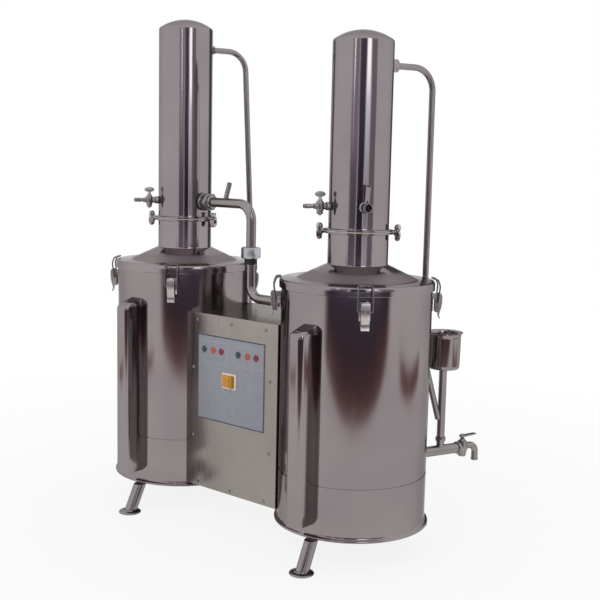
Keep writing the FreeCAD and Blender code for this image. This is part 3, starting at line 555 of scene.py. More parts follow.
def weld_ring(radius, lift=2.2, spread=2.4):
    # A small fillet of weld round the foot of a pipe.
    return turned("weld", [
        (radius, 0), (radius + spread, 0), (radius + spread * 0.75, lift * 0.35),
        (radius + spread * 0.35, lift * 0.75), (radius, lift), (radius, 0)], 40)


def build_tower(unit):
    top = tower_top[unit]
    outer = [
        (58.8, TOWER_FOOT), (66.3, TOWER_FOOT), (67, 643.2), (67, 645.8), (66.3, 646.5), (61.4, 646.5),
        (60.4, 647.1), (60, 648.4), (60, 650.5)] + tower_cap(top)
    inner = [(58.8, TOWER_FOOT), (58.8, top - 6), (0, top - 6)]
    pieces = [vessel("tower", outer, inner, 128)]
    pieces += [slot_lug(angle) for angle in bolt_angles[unit].values()]
    if unit == "right":
        mouth = turned("stub", [
            (7.5, 0), (9, 0), (9, 23.5), (9.5, 24), (9.5, 28.9), (8.9, 29.5), (8.1, 29.5), (7.5, 28.9),
            (7.5, 0)], 48)
        stub = laid(mouth, (58.5, 0, OUTLET_HEIGHT), OUT)
        vent = laid(open_tube("vent", 36.0, 5.25, 4.05, 32), (74, 0, OUTLET_HEIGHT + 7.6), VENT_HEADING)
        collar = laid(weld_ring(9.0), (59.3, 0, OUTLET_HEIGHT), OUT)
        pieces += [spun(piece, OUTLET_ANGLE) for piece in (stub, vent, collar)]
    else:
        pieces.append(laid(open_tube("stub", 17.5, 10.5, 9.0), (58.5, 0, TRANSFER_HEIGHT), OUT))
    tower = joined("condenser_tower_" + unit, pieces)
    dressed(stood(tower, unit), "root", tower_sheet, "polished_steel", "condenser_" + unit)


# Legs

def build_legs():
    # Slanted rods from the foot discs to the tank's base, cut level at both ends.
    foot = Vector((193, 0, 0))
    hip = Vector((158, 0, TANK_BASE))
    disc_seat = 3.5
    heading = (hip - foot).normalized()
    legs = []
    for unit in UNITS:
        for angle in (-80.0, 80.0):
            leg = laid(turned("leg", [(13, 0), (13, TANK_BASE / heading.z)], 40), foot, heading)
            for vertex in leg.data.vertices:
                level = (disc_seat if vertex.co.z < TANK_BASE * MM / 2 else TANK_BASE) * MM
                vertex.co += heading * ((level - vertex.co.z) / heading.z)
            disc = turned("foot", [
                (22.8, 0), (24, 0.9), (24, 2.6), (23, 3.8), (20.5, 4.5), (14.5, 5.6), (13.2, 7.4),
                (9, 7.6)], 56)
            disc.data.transform(Matrix.Translation(foot * MM))
            for piece in (leg, disc):
                legs.append(stood(piece, unit, angle))
    dressed(joined("splayed_legs", legs), "root", pipe_finish, "pipe_steel", "legs")


# Wiring covers

def build_covers():
    # U-shaped troughs: the plan is pushed up the wall and drawn back to the tank over the roof. The
    # roof's rows are a height and the shares of depth and width that the plan keeps there.
    plan = [
        (-18, 0), (-18, -42), (-17.1, -46.6), (-14.5, -50.5), (-10.6, -53.1), (-6, -54), (6, -54),
        (10.6, -53.1), (14.5, -50.5), (17.1, -46.6), (18, -42), (18, 0)]
    roof = [
        (446, 1, 1), (449, 1, 1), (454.5, 0.98, 0.99), (458.2, 0.907, 0.96), (463.5, 0.648, 0.9),
        (469, 0.33, 0.84), (472, 0.13, 0.81), (474.2, 0.02, 0.8)]
    foot = 85
    centre = 7
    wall = -141
    covers = []
    for unit in UNITS:
        deselect()
        bpy.ops.mesh.primitive_circle_add(vertices=len(plan), radius=MM, fill_type="NGON")
        cover = settle("cover")
        for vertex, (x, y) in zip(cover.data.vertices, plan):
            vertex.co = Vector((centre + x, wall + y, foot)) * MM
        edit(cover)
        height, depth, width = foot, 1, 1
        for height_to, depth_to, width_to in roof:
            push((0, 0, (height_to - height) * MM))
            bpy.ops.transform.resize(value=(width_to / width, depth_to / depth, 1),
                                     center_override=(centre * MM, wall * MM, height_to * MM))
            height, depth, width = height_to, depth_to, width_to
        close_up()
        covers.append(stood(cover, unit))
    dressed(joined("cable_covers", covers), "root", tank_sheet, "box_steel", "wiring_covers", smooth=50)


# Control box

def switch_window():
    # The opening for the rocker switch, cut through the front plate and the label.
    return slab("window", (SWITCH_X - 17.8, PANEL_FACE - 10, SWITCH_Z - 13.8),
                (SWITCH_X + 17.8, PANEL_FACE + 10, SWITCH_Z + 13.8))


def build_box():
    front = eased(slab("panel", (-132, PANEL_FACE, 68), (132, -98.5, 450)), 0.6, 2)
    carved(front, switch_window())
    dressed(on_bench(front), "root", box_sheet, "box_steel", "front_panel")
    refinished("control_box", box_sheet)
    label = eased(slab("label_plate", (-98, -100.9, 221), (98, PANEL_FACE, 406)), 0.3, 2)
    carved(label, switch_window())
    dressed(on_bench(label), "root", label_face, "box_steel")
    # Frames of four thin strips: the label's border and one round each group of lamps.
    frames = [(-97.6, 97.6, 221.4, 405.6, 2.2), (-90, -10, 349, 393, 0.5), (10, 90, 349, 393, 0.5)]
    lines = []
    for low_x, high_x, low_z, high_z, width in frames:
        strips = [
            ((low_x, low_z), (high_x, low_z + width)), ((low_x, high_z - width), (high_x, high_z)),
            ((low_x, low_z + width), (low_x + width, high_z - width)),
            ((high_x - width, low_z + width), (high_x, high_z - width))]
        made = [slab("line", (a[0], -101.05, a[1]), (b[0], -100.7, b[1])) for a, b in strips]
        lines.append(joined("line_frame", made))
    dressed(on_bench(joined("label_border", lines[:1])), "root", label_border, "box_steel")
    dressed(on_bench(joined("lamp_group_frames", lines[1:])), "root", label_line, "box_steel")


def build_lamps():
    group_step = 100.0
    colours = {"green": (-77.0, lens_green), "amber": (-50.0, lens_amber), "red": (-26.0, lens_red)}
    rings = []
    for colour, (start, lens) in colours.items():
        domes = []
        for group in range(2):
            spot = (start + group_step * group, PANEL_FACE, 374.0)
            ring = turned("ring", [(7.4, 0.9), (8, 0.9), (8, 1.5), (7.7, 1.8), (7.4, 1.8), (7.4, 0.9)], 48)
            rings.append(laid(ring, spot, -ACROSS))
            dome = turned("dome", [
                (7.4, 0), (7.4, 1.6), (7.0, 2.3), (5.8, 2.95), (3.6, 3.45), (0, 3.6)], 48)
            domes.append(laid(dome, spot, -ACROSS))
        dressed(on_bench(joined("lamp_lenses_" + colour, domes)), "root", lens, "lamps_" + colour,
                "lamps_" + colour, smooth=60)
    dressed(on_bench(joined("lamp_rings", rings)), "root", hardware_finish, "screw_steel")


def build_switch():
    flange = eased(slab("flange", (-23, -103, 297.5), (18, PANEL_FACE, 330.5)), 1.2, 3)
    sleeve = slab("sleeve", (-20, -101, 300.6), (15, -84, 327.4))
    bezel = joined("switch_bezel", [flange, sleeve])
    carved(bezel, slab("mouth", (-18.4, -110, 300.8), (13.4, -86, 327.2)))
    dressed(on_bench(bezel), "root", cream_plastic, "bezel_plastic", "rocker_bezel")
    outline = [
        (-15, -108), (-11, -107.3), (-6, -106.2), (-2, -105.2), (0, -104.8), (2, -105.2), (6, -106.2),
        (11, -107.3), (15, -108), (14.4, -101), (12, -93), (-12, -93), (-14.4, -101)]
    rocker = plate("switch_rocker", [(SWITCH_X + x, y, 301) for x, y in outline], (0, 0, 26))
    eased(rocker, 0.7, 2, 40)
    pivot = Vector((SWITCH_X, -96, 0)) * MM
    tilt = -7.0
    rocker.data.transform(Matrix.Translation(-pivot))
    spun(rocker, tilt).data.transform(Matrix.Translation(pivot))
    dressed(on_bench(rocker), "rocker", amber_plastic, "rocker_amber", "rocker")


def build_screws():
    places = [(side * 99.0, height) for height in (435.0, 75.0) for side in (-1, 0, 1)]
    places += [(side * 111.0, height) for side in (-1, 1) for height in (330.0, 180.0)]
    head = turned("head", [(3.6, 0), (3.6, 0.6), (3.3, 1.4), (2.6, 2.0), (1.6, 2.3), (0, 2.4)], 24)
    carved(head, slab("slot", (-4, -0.4, 1.6), (4, 0.4, 4)))
    laid(head, (0, PANEL_FACE, 0), -ACROSS)
    heads = []
    for step, (x, z) in enumerate(places):
        one = another(head, "head_%d" % step)
        turn = Matrix.Rotation(math.radians(37.0 * step), 4, "Y")
        one.data.transform(Matrix.Translation((x * MM, 0, z * MM)) @ turn)
        heads.append(one)
    bpy.data.objects.remove(head)
    dressed(on_bench(joined("panel_screw_heads", heads)), "root", screw_finish, "screw_steel",
            "panel_screws")


# Transfer pipe

def build_transfer():
    joint = (TRANSFER_DROP, 0, 571)
    upper = tube("transfer_upper", [
        (-190, 0, TRANSFER_HEIGHT), (TRANSFER_DROP, 0, TRANSFER_HEIGHT), joint], [36], 10.5, 48, 16)
    vent = laid(open_tube("vent", 46.2, 5.25, 4.05, 32), (-122, 0, TRANSFER_HEIGHT), VENT_HEADING)
    upper = joined("transfer_pipe_top", [upper, vent])
    dressed(on_bench(upper), "root", pipe_finish, "pipe_steel", "transfer_pipe_upper")
    lower = tube("transfer_lower", [
        joint, (TRANSFER_DROP, 0, 478.5), (101.5, 0, 478.5)], [30], 10.5, 48, 16)
    dressed(on_bench(lower), "root", pipe_finish, "pipe_steel", "transfer_pipe_lower")
    nut = laid(hex_nut("union", 36, 17, 2.0), (-181.5, 0, TRANSFER_HEIGHT), OUT)
    flange = turned("flange", [
        (11, 0), (19.5, 0), (20, 0.6), (20, 5.4), (19.5, 6), (16, 7), (14, 8.5), (11, 8.5)], 48)
    collar = turned("collar", [
        (11, 0), (15.5, 0), (16.2, 0.8), (16.2, 3.6), (15, 5.2), (13, 6.4), (10.9, 6.6)], 48)
    union = [
        nut, laid(flange, (-189.6, 0, TRANSFER_HEIGHT), OUT),
        laid(collar, (-164.7, 0, TRANSFER_HEIGHT), OUT)]
    dressed(on_bench(joined("tower_union", union)), "root", fitting_finish, "fitting_steel")
    drop = on_bench(laid(hex_nut("drop", 38, 24, 2.4), (TRANSFER_DROP, 0, 565), UP))
    dressed(drop, "root", nut_finish, "fitting_steel", "transfer_nuts")
    sleeve = turned("pipe_sleeve", [
        (10.9, 0), (13.2, 0), (14, 0.8), (14, 3.4), (13.2, 4.2), (14, 5), (14, 7.8), (13.2, 8.6), (14, 9.4),
        (14, 12), (13, 13), (10.9, 13), (10.9, 0)], 48)
    dressed(on_bench(laid(sleeve, (TRANSFER_DROP, 0, 552), UP)), "root", rubber_black, "coupling_rubber",
            "rubber_coupling")


# Cooling overflow pipes and their fittings

def build_overflow(unit):
    # Out of the tower's top, down behind the tank and outwards to an end at 240 mm.
    height = overflow_height[unit]
    knee = (OVERFLOW_REACH, 0, 388)
    end = (213.35, 0, 240)
    if unit == "right":
        corners = [(60.5, 0, height), (OVERFLOW_REACH, 0, height), knee, end]
        bends = [45, 60]
    else:
        corners = [(60.5, 0, height), (147, 0, height), (OVERFLOW_REACH, 0, 620), knee, end]
        bends = [45, 300, 60]
    pipe = tube("overflow_tube_" + unit, corners, bends, 6.35, 36, 14)
    dressed(stood(pipe, unit, OVERFLOW_ANGLE), "root", pipe_finish, "pipe_steel", "overflow_pipe_" + unit)


def build_overflow_nuts():
    height = overflow_height["right"]
    nut = laid(hex_nut("nut", 24.5, 16, 1.6), (62.5, 0, height), OUT)
    washer = laid(turned("washer", [
        (7, 0), (14, 0), (14, 3), (12.4, 4.4), (7, 4.4)], 40), (59.2, 0, height), OUT)
    tail = laid(turned("tail", [
        (6.4, 0), (9.8, 0), (9.8, 1.8), (8.4, 3.6), (6.5, 4)], 40), (78, 0, height), OUT)
    hexed = stood(joined("hexed", [nut, washer, tail]), "right", OVERFLOW_ANGLE)
    cone = turned("cone", [
        (14.4, 0), (14.4, 1.2), (12.6, 3.4), (10, 6.6), (8.4, 9.2), (7.4, 11), (6.4, 11.4)], 40)
    coned = stood(laid(cone, (59.3, 0, overflow_height["left"]), OUT), "left", OVERFLOW_ANGLE)
    dressed(joined("overflow_fittings", [hexed, coned]), "root", fitting_finish, "fitting_steel",
            "overflow_nuts")


# Level cups, drains and taps

def build_cups():
    cups = []
    for unit in UNITS:
        cup = turned("cup", [
            (6.5, 171), (8.35, 171), (8.35, 346.6), (9, 347.6), (10.6, 348), (28, 348), (31, 348.8),
            (32.8, 350.6), (33.6, 354), (33.65, 357), (34.45, 414), (34.5, 417), (35, 421), (36.4, 423.6),
            (38, 424.4), (38.7, 425.2), (38.4, 426), (37.2, 426), (35.6, 425), (33.8, 422.4), (33, 418),
            (32.2, 354.6), (30.6, 350.6), (28, 349.6), (6.5, 349.6), (6.5, 171)], 72)
        cup.data.transform(Matrix.Translation((CUP_REACH * MM, 0, 0)))
        band = laid(turned("band", [
            (8.2, 0), (10.2, 0.6), (11, 3), (11, 7), (10.2, 9.4), (8.2, 10)], 32), (CUP_REACH, 0, 190), UP)
        for piece in (cup, band):
            cups.append(stood(piece, unit, OVERFLOW_ANGLE))
    dressed(joined("level_cup_pair", cups), "root", tank_sheet, "polished_steel", "level_cups")


def build_drains():
    drains = []
    for unit in UNITS:
        pipe = laid(turned("drain", [(11, 0), (11, 116)], 48), (149.4, 0, DRAIN_HEIGHT), OUT)
        weld = laid(weld_ring(11.0, 2.6, 2.6), (149.6, 0, DRAIN_HEIGHT), OUT)
        for piece in (pipe, weld):
            drains.append(stood(piece, unit, OVERFLOW_ANGLE))
    dressed(joined("drain_tubes", drains), "root", pipe_finish, "pipe_steel", "drain_pipes")


def build_taps():
    bodies = []
    for unit in UNITS:
        collar = laid(turned("collar", [
            (10, 0), (12.9, 0), (13.5, 0.6), (13.5, 6.2), (12.7, 7), (11, 7.4), (9.4, 9), (9.2, 12),
            (10.2, 16)], 48), (265, 0, DRAIN_HEIGHT), OUT)
        barrel = laid(turned("barrel", [
            (5, -16.8), (7.2, -16.6), (8.2, -15), (9, -12), (10.2, -8), (11.4, -3), (11.5, 3), (10.6, 8),
            (9.6, 11.5), (9.8, 13), (9.2, 13.9), (7.2, 14)], 48), (TAP_REACH, 0, DRAIN_HEIGHT), UP)
        spout = tube("spout", [(284, 0, 172), (316, 0, 172), (316, 0, 140)], [15], 7.2, 36, 12)
        bead = laid(turned("bead", [
            (5, 0), (7.3, 0), (7.9, 0.6), (7.9, 3.4), (7.2, 4.2)], 36), (316, 0, 138), UP)
        for piece in (collar, barrel, spout, bead):
            bodies.append(stood(piece, unit, OVERFLOW_ANGLE))
        side_view = [
            (275, 192.6), (288, 192.9), (296, 193.6), (315.4, 195.2), (316, 196.4), (315.2, 197.8),
            (296, 197.2), (288, 196.7), (275, 196.4)]
        handle = plate("handle", [(x, -4.6, z) for x, z in side_view], (0, 9.2, 0))
        eased(handle, 1.1, 3)
        stem = laid(turned("stem", [
            (7, 0), (7, 2.6), (5, 4.2), (4.4, 9), (5.6, 9.4), (6.4, 10.4), (6.4, 13.2), (4.6, 14.6),
            (0, 15)], 32), (TAP_REACH, 0, 183.6), UP)
        nut = laid(hex_nut("nut", 15, 5, 1.0), (TAP_REACH, 0, 150.7), UP)
        lever = joined("tap_handle_" + unit, [handle, stem, nut])
        dressed(stood(lever, unit, OVERFLOW_ANGLE), "tap_lever_" + unit, fitting_finish, "fitting_steel",
                "tap_lever_" + unit)
    dressed(joined("tap_castings", bodies), "root", fitting_finish, "fitting_steel", "tap_bodies",
            smooth=50)


# Petcocks

def build_petcocks():
    bodies = []
    for unit in UNITS:
        height = petcock_height[unit]
        nut = laid(hex_nut("nut", 16, 9, 1.2), (60.4, 0, height), OUT)
        body = laid(turned("body", [
            (6, 0), (6.5, 0.6), (6.5, 4), (5.6, 5), (5.6, 8), (6.4, 9.4),
            (6.4, 13)], 36), (69, 0, height), OUT)
        barrel = laid(turned("barrel", [
            (4.8, -10), (6.4, -9.8), (7.2, -8.4), (8, -4), (8.1, 0), (8, 4), (7.2, 8.4), (6.4, 9.8),
            (4.8, 10)], 36), (KEY_REACH, 0, height), UP)
        tail = laid(turned("tail", [
            (5.6, 0), (5.4, 6), (3.9, 8), (3.9, 13), (4.8, 13.6), (4.8, 15), (4.1, 18.4), (4.8, 18.8),
            (4.1, 22.4), (4.8, 22.8), (4.1, 26.4), (3.7, 26.9), (2.6, 27), (2.6, 10),
            (0, 10)], 36), (89, 0, height), OUT)
        for piece in (nut, body, barrel, tail):
            bodies.append(stood(piece, unit, PETCOCK_ANGLE))
        stem = laid(turned("stem", [(4.5, 0), (4.5, 3), (3.6, 4.4), (2.6, 7.6), (2.4, 10)], 28),
                    (KEY_REACH, 0, height + 9.5), UP)
        sides = 36
        turns = [math.tau * step / sides for step in range(sides)]
        oval = [
            (KEY_REACH + 11 * math.cos(turn), -1.7, height + 23.3 + 5.6 * math.sin(turn))
            for turn in turns]
        grip = plate("grip", oval, (0, 3.4, 0))
        eased(grip, 1.2, 4)
        nut = laid(hex_nut("nut", 11, 5, 0.8), (KEY_REACH, 0, height - 15.3), UP)
        tip = laid(turned("tip", [(3, 0), (3, 2), (2.2, 2.6), (0, 2.8)], 24), (KEY_REACH, 0, height - 15.3),
                   -UP)
        key = joined("petcock_grip_" + unit, [stem, grip, nut, tip])
        dressed(stood(key, unit, PETCOCK_ANGLE), "petcock_key_" + unit, key_finish, "fitting_steel",
                "petcock_key_" + unit)
    dressed(joined("petcock_castings", bodies), "root", fitting_finish, "fitting_steel", "petcock_bodies",
            smooth=50)


# Swing bolts and wing nuts

def build_swing_bolts():
    pivot = (BOLT_REACH, 0, BOLT_HEIGHT)
    threads = 17
    eye = laid(turned("eye", [
        (2.6, -3.2), (4.8, -3.2), (5.5, -2.5), (5.5, 2.5), (4.8, 3.2), (2.6, 3.2)], 32), pivot, ACROSS)
    profile = [(2.8, 0), (2.8, 9)]
    for turn in range(threads):
        profile += [(3.0, 9.4 + turn), (2.6, 9.9 + turn)]
    profile += [(2.8, 26.6), (2.2, 27.2), (0, 27.4)]
    shank = laid(turned("shank", profile, 20), pivot, UP)
    pin = laid(turned("pin", [(1.4, -7.5), (2, -7.1), (2, 7.1), (1.4, 7.5)], 24), pivot, ACROSS)
    bolt = joined("bolt", [eye, shank, pin])
    base = turned("base", [
        (3.1, 646.3), (6.2, 646.3), (6.7, 647.4), (6.6, 650), (5.8, 653.2), (4.6, 655.6), (3.1, 656.2),
        (3.1, 646.3)], 32)
    base.data.transform(Matrix.Translation((BOLT_REACH * MM, 0, 0)))
    parts = [base]
    for side in (-1, 1):
        outline = [
            (4.8, 647.6), (7.4, 647.8), (9.4, 649.6), (10.4, 652.4), (10.5, 655.2), (9.4, 656.8),
            (7.6, 656.4), (6.2, 654.6), (4.8, 653.6)]
        parts.append(eased(plate("wing", [(75.4, side * y, z) for y, z in outline], (3.2, 0, 0)), 0.9, 3))
    wing = joined("wing", parts)
    for unit in UNITS:
        for where, angle in bolt_angles[unit].items():
            tag = unit + "_" + where
            bolt_here = stood(another(bolt, "clamp_bolt_" + tag), unit, angle)
            dressed(bolt_here, "swing_bolt_" + tag, hardware_finish, "hardware_steel", "swing_bolt_" + tag)
            nut_here = stood(another(wing, "clamp_wing_nut_" + tag), unit, angle)
            dressed(nut_here, "wing_nut_" + tag, hardware_finish, "hardware_steel", "wing_nut_" + tag)
    bpy.data.objects.remove(bolt)
    bpy.data.objects.remove(wing)


# Toggle latches

def build_latches():
    bases = []
    parts = [eased(slab("back", (150.3, -11, 485), (152.3, 11, 520)), 0.7, 2)]
    for side in (-1, 1):
        outline = [
            (152, side * 4.9, 508.5), (160.6, side * 4.9, 509.6), (164.6, side * 4.9, 511.6),
            (166.4, side * 4.9, 514.6), (165.4, side * 4.9, 517.2), (161, side * 4.9, 518.8),
            (152, side * 4.9, 520)]
        parts.append(eased(plate("ear", outline, (0, side * 1.6, 0)), 0.3, 1))
        parts.append(laid(turned("rivet", [(2.4, 0), (2.2, 0.6), (1.4, 1.1), (0, 1.3)], 20),
                          (152.2, side * 6.0, 490.5), OUT))
    parts.append(laid(turned("pin", [(1.5, -8.2), (2, -7.8), (2, 7.8), (1.5, 8.2)], 24), (163.5, 0, 515),
                      ACROSS))
    base = joined("base", parts)
    path = [
        (166.6, 521), (169.4, 519.4), (171, 515.6), (171, 503), (169.4, 492), (166.4, 482), (165.6, 477.6),
        (166.6, 473), (168.5, 469)]
    inner = [(x - 1.2, z) for x, z in path]
    inner[0] = (165.8, 520.2)
    inner[-1] = (167.4, 468.8)
    web = plate("web", [(x, -8, z) for x, z in path] + [(x, -8, z) for x, z in reversed(inner)], (0, 16, 0))
    parts = [eased(web, 0.35, 1, 50)]
    for side in (-1, 1):
        start = 8.0 if side > 0 else -6.8
        outline = [
            (166, 520.8), (169, 519.2), (170.6, 515.4), (170.6, 503), (169, 492), (166.2, 482.6),
            (157, 482.5), (157, 515), (159, 519.4), (162.4, 521)]
        cheek = plate("cheek", [(x, start, z) for x, z in outline], (0, -1.2, 0))
        parts.append(eased(cheek, 0.3, 1, 50))
    lever = joined("lever", parts)
    wire = [
        (161.5, 6.8, 502.5), (161.5, 14, 502.5), (165, 14, 536), (160, 14, 548.5), (151.5, 14, 549.9),
        (151.5, -14, 549.9), (160, -14, 548.5), (165, -14, 536), (161.5, -14, 502.5), (161.5, -6.8, 502.5)]
    bail = tube("bail", wire, [3, 18, 5, 3, 3, 5, 18, 3], 1.6, 14, 6)
    for unit in UNITS:
        for step in range(LATCHES):
            angle = latch_start[unit] + 360 / LATCHES * step
            tag = "%s_%d" % (unit, step + 1)
            bases.append(stood(another(base, "base_" + tag), unit, angle))
            lever_here = stood(another(lever, "toggle_lever_" + tag), unit, angle)
            dressed(lever_here, "latch_lever_" + tag, hardware_finish, "hardware_steel",
                    "latch_lever_" + tag)
            bail_here = stood(another(bail, "toggle_bail_" + tag), unit, angle)
            dressed(bail_here, "latch_bail_" + tag, wire_finish, "hardware_steel", "latch_bail_" + tag,
                    smooth=60)
    for model in (base, lever, bail):
        bpy.data.objects.remove(model)
    dressed(joined("toggle_bases", bases), "root", hardware_finish, "hardware_steel", "latch_bases")


for unit in UNITS:
    build_tank(unit)
    build_lid(unit)
    build_tower(unit)
    build_overflow(unit)
build_legs()
build_covers()
build_box()
build_lamps()
build_switch()
build_screws()
build_transfer()
build_overflow_nuts()
build_cups()
build_drains()
build_taps()
build_petcocks()
build_swing_bolts()
build_latches()
refinished("gaskets", gasket_white)
refinished("condenser_bundles", inner_steel)
refinished("heaters", inner_steel)


# Stage, lights and camera

def around(azimuth, distance, height):
    turn = math.radians(azimuth)
    return Vector((distance * math.sin(turn), -distance * math.cos(turn), height))


def build_stage():
    # A pale floor. Camera and mirror rays see it nearly white close by and white farther off, so the
    # object keeps its shadow while the floor runs into the background.
    deselect()
    bpy.ops.mesh.primitive_plane_add(size=30, location=(0, 0, -0.0004))
    floor = settle("floor")
    material, nodes, links, shader = new_material("Pale floor")
    grain = noise(nodes, links, EVENLY, 40.0, 2.0)
    links.new(tinted(nodes, links, grain, (0.80, 0.79, 0.78), (0.84, 0.83, 0.82)),
              shader.inputs["Base Color"])
    shader.inputs["Roughness"].default_value = 0.7
    glow = add_node(nodes, "ShaderNodeEmission", Color=(1, 1, 1, 1), Strength=1.0)
    path = add_node(nodes, "ShaderNodeLightPath")
    seen = combined(nodes, links, "MAXIMUM", path.outputs["Is Camera Ray"], path.outputs["Is Glossy Ray"])
    reach = add_node(nodes, "ShaderNodeVectorMath", operation="LENGTH")
    links.new(stretched(nodes, links, EVENLY), reach.inputs[0])
    far = ranged(nodes, links, reach.outputs["Value"], 0.86, 1.0, 0.5, 1.7)
    share = combined(nodes, links, "MULTIPLY", seen, far)
    surface = mixed(nodes, links, share, shader.outputs[0], glow.outputs[0])
    links.new(surface, nodes["Material Output"].inputs["Surface"])
    floor.data.materials.append(material)


def build_card(name, azimuth, distance, width, tints, soft=(0.12, 0.12), strength=1.0, bow=0.0):
    # A studio card that only the polished steel sees, facing the right tank. Its colour changes
    # with height through (metres, colour) pairs, and both upright edges fade over a share of its width.
    # bow is how far its lower edge rises towards the sides.
    low = tints[0][0]
    high = tints[-1][0]
    facing = -around(azimuth, 1.0, 0)
    centre = tank_axis["right"] + around(azimuth, distance, (low + high) / 2)
    turn = facing.to_track_quat("Z", "Y").to_euler()
    deselect()
    bpy.ops.mesh.primitive_plane_add(size=1, location=centre, rotation=turn)
    card = bpy.context.object
    card.scale = (width, high - low, 1)
    card = settle(name)
    material, nodes, links, shader = new_material(name)
    nodes.remove(shader)
    place = add_node(nodes, "ShaderNodeTexCoord")
    spot = add_node(nodes, "ShaderNodeSeparateXYZ")
    links.new(place.outputs["Object"], spot.inputs[0])
    across = add_node(nodes, "ShaderNodeSeparateXYZ")
    links.new(place.outputs["UV"], across.inputs[0])
    side = ranged(nodes, links, across.outputs["X"], -1.0, 1.0, 0.0, 1.0)
    curve = combined(nodes, links, "MULTIPLY", side, side)
    edge = combined(nodes, links, "MULTIPLY", curve, bow)
    over = combined(nodes, links, "SUBTRACT", spot.outputs["Z"], edge)
    rise = ranged(nodes, links, over, 0.0, 1.0, low, high)
    ramp = add_node(nodes, "ShaderNodeValToRGB")
    stops = ramp.color_ramp.elements
    while len(stops) < len(tints):
        stops.new(1.0)
    for stop, (height, colour) in zip(stops, tints):
        stop.position = (height - low) / (high - low)
        stop.color = (*colour, 1)
    links.new(rise, ramp.inputs["Fac"])
    glow = add_node(nodes, "ShaderNodeEmission", Strength=strength)
    links.new(ramp.outputs["Color"], glow.inputs["Color"])
    left_fade = ranged(nodes, links, across.outputs["X"], 0.0, 1.0, 0.0, soft[1])
    right_fade = ranged(nodes, links, across.outputs["X"], 1.0, 0.0, 1.0 - soft[0], 1.0)
    low_fade = ranged(nodes, links, over, 0.0, 1.0, low - 0.01, low + 0.03)
    sides = combined(nodes, links, "MULTIPLY", left_fade, right_fade)
    share = combined(nodes, links, "MULTIPLY", sides, low_fade)
    clear = add_node(nodes, "ShaderNodeBsdfTransparent")
    surface = mixed(nodes, links, share, clear.outputs[0], glow.outputs[0])
    links.new(surface, nodes["Material Output"].inputs["Surface"])
    card.data.materials.append(material)
    card.visible_camera = False
    card.visible_diffuse = False
    card.visible_shadow = False
    card.visible_transmission = False


def build_world():
    # White for the camera and for mirror rays, a slightly warm and dimmer sky for the light.
    world = bpy.data.worlds.new("Studio")
    bpy.context.scene.world = world
    world.use_nodes = True
    nodes = world.node_tree.nodes
    links = world.node_tree.links
    nodes.clear()
    path = add_node(nodes, "ShaderNodeLightPath")
    seen = combined(nodes, links, "MAXIMUM", path.outputs["Is Camera Ray"], path.outputs["Is Glossy Ray"])
    seen = combined(nodes, links, "MAXIMUM", seen, path.outputs["Is Transmission Ray"])
    white = add_node(nodes, "ShaderNodeBackground", Color=(1, 1, 1, 1), Strength=1.0)
    soft = add_node(nodes, "ShaderNodeBackground", Color=(1, 0.99, 0.98, 1), Strength=0.8)
    out = add_node(nodes, "ShaderNodeOutputWorld")
    links.new(mixed(nodes, links, seen, soft.outputs[0], white.outputs[0]), out.inputs["Surface"])


def build_camera():
    # The place, turn and lens that the photograph was taken with.
    spot = (1.50078, -1.67463, 0.77604)
    azimuth = math.radians(40.69)
    pitch = math.radians(7.63)
    roll = math.radians(1.22)
    level = Vector((math.cos(azimuth), math.sin(azimuth), 0))
    ahead = Vector((-math.sin(azimuth), math.cos(azimuth), 0))
    forward = ahead * math.cos(pitch) - UP * math.sin(pitch)
    above = level.cross(forward)
    right = level * math.cos(roll) + above * math.sin(roll)
    top = above * math.cos(roll) - level * math.sin(roll)
    turn = Matrix((right, top, -forward)).transposed()
    lens = bpy.data.cameras.new("Camera")
    camera = linked(bpy.data.objects.new("Camera", lens))
    camera.matrix_world = Matrix.Translation(spot) @ turn.to_4x4()
    lens.sensor_width = 36
    lens.lens = 62.29
    lens.clip_end = 200
    bpy.context.scene.camera = camera


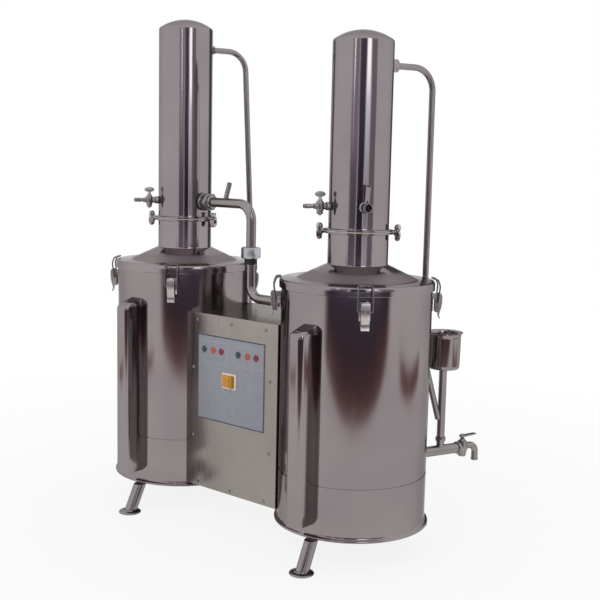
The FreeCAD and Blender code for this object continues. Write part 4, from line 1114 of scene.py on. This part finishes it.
build_stage()
build_world()
build_camera()
build_card("main_flag", 40, 1.2, 2.86, [
    (0.0, (0.5, 0.3, 0.3)), (0.06, (0.24, 0.13, 0.12)), (0.14, (0.15, 0.09, 0.09)),
    (0.22, (0.10, 0.07, 0.09)), (0.42, (0.11, 0.10, 0.15))], (0.1, 0.1), bow=0.13)
build_card("upper_side", 13.3, 1.33, 0.66, [
    (0.42, (0.3, 0.26, 0.34)), (0.6, (0.2, 0.18, 0.22)), (0.72, (0.26, 0.22, 0.28)),
    (0.84, (0.5, 0.42, 0.52)), (1.6, (0.55, 0.48, 0.57))])
build_card("upper_core", 39.5, 1.34, 0.54, [
    (0.42, (0.10, 0.09, 0.13)), (0.62, (0.04, 0.03, 0.045)), (0.9, (0.12, 0.10, 0.16)),
    (1.6, (0.2, 0.17, 0.24))], (0.06, 0.06))
build_card("thin_strip", 10, 1.2, 0.08, [
    (0.8, (0.15, 0.14, 0.17)), (0.98, (0.4, 0.4, 0.44)), (1.06, (1, 1, 1)),
    (1.6, (1, 1, 1))], (0.3, 0.3), 3.6)
build_card("bright_strip", 60, 1.25, 0.36, [
    (0.42, (0.28, 0.28, 0.31)), (0.62, (0.14, 0.135, 0.15)), (0.78, (0.3, 0.31, 0.36)),
    (0.95, (0.46, 0.48, 0.54)), (1.06, (1, 1, 1)), (1.6, (1, 1, 1))], (0.2, 0.2), 3.6)
build_card("right_flag", 80, 1.3, 0.55, [
    (0.42, (0.3, 0.27, 0.33)), (0.7, (0.35, 0.3, 0.36)), (1.0, (0.38, 0.36, 0.42)),
    (1.6, (0.38, 0.36, 0.42))])
build_card("back_flag", 125, 1.3, 1.1, [
    (0.04, (0.6, 0.4, 0.4)), (0.07, (0.3, 0.13, 0.13)), (0.13, (0.32, 0.18, 0.18)),
    (0.18, (1, 1, 1))], (0.15, 0.15), bow=0.06)
build_card("rear_flag", 195, 1.6, 0.9, [
    (0.0, (0.4, 0.3, 0.3)), (0.12, (0.18, 0.13, 0.14)), (0.5, (0.12, 0.10, 0.13)),
    (1.6, (0.2, 0.18, 0.22))], (0.2, 0.2), bow=0.1)
build_card("floor_band", -41, 1.6, 1.3, [
    (0.03, (0.6, 0.45, 0.42)), (0.06, (0.3, 0.17, 0.15)), (0.10, (0.6, 0.45, 0.42))], (0.2, 0.2))

# One soft lamp from the camera's side, which the steel doesn't mirror.
key = bpy.data.lights.new("Key", "AREA")
key.energy = 22
key.size = 2.2
key_object = linked(bpy.data.objects.new("Key", key))
key_object.location = around(5, 3.0, 3.2)
key_object.rotation_euler = (Vector((0, 0, 0.5)) - key_object.location).to_track_quat("-Z", "Y").to_euler()
key_object.visible_glossy = False

scene = bpy.context.scene
scene.view_settings.view_transform = "Standard"
bpy.context.view_layer.update()
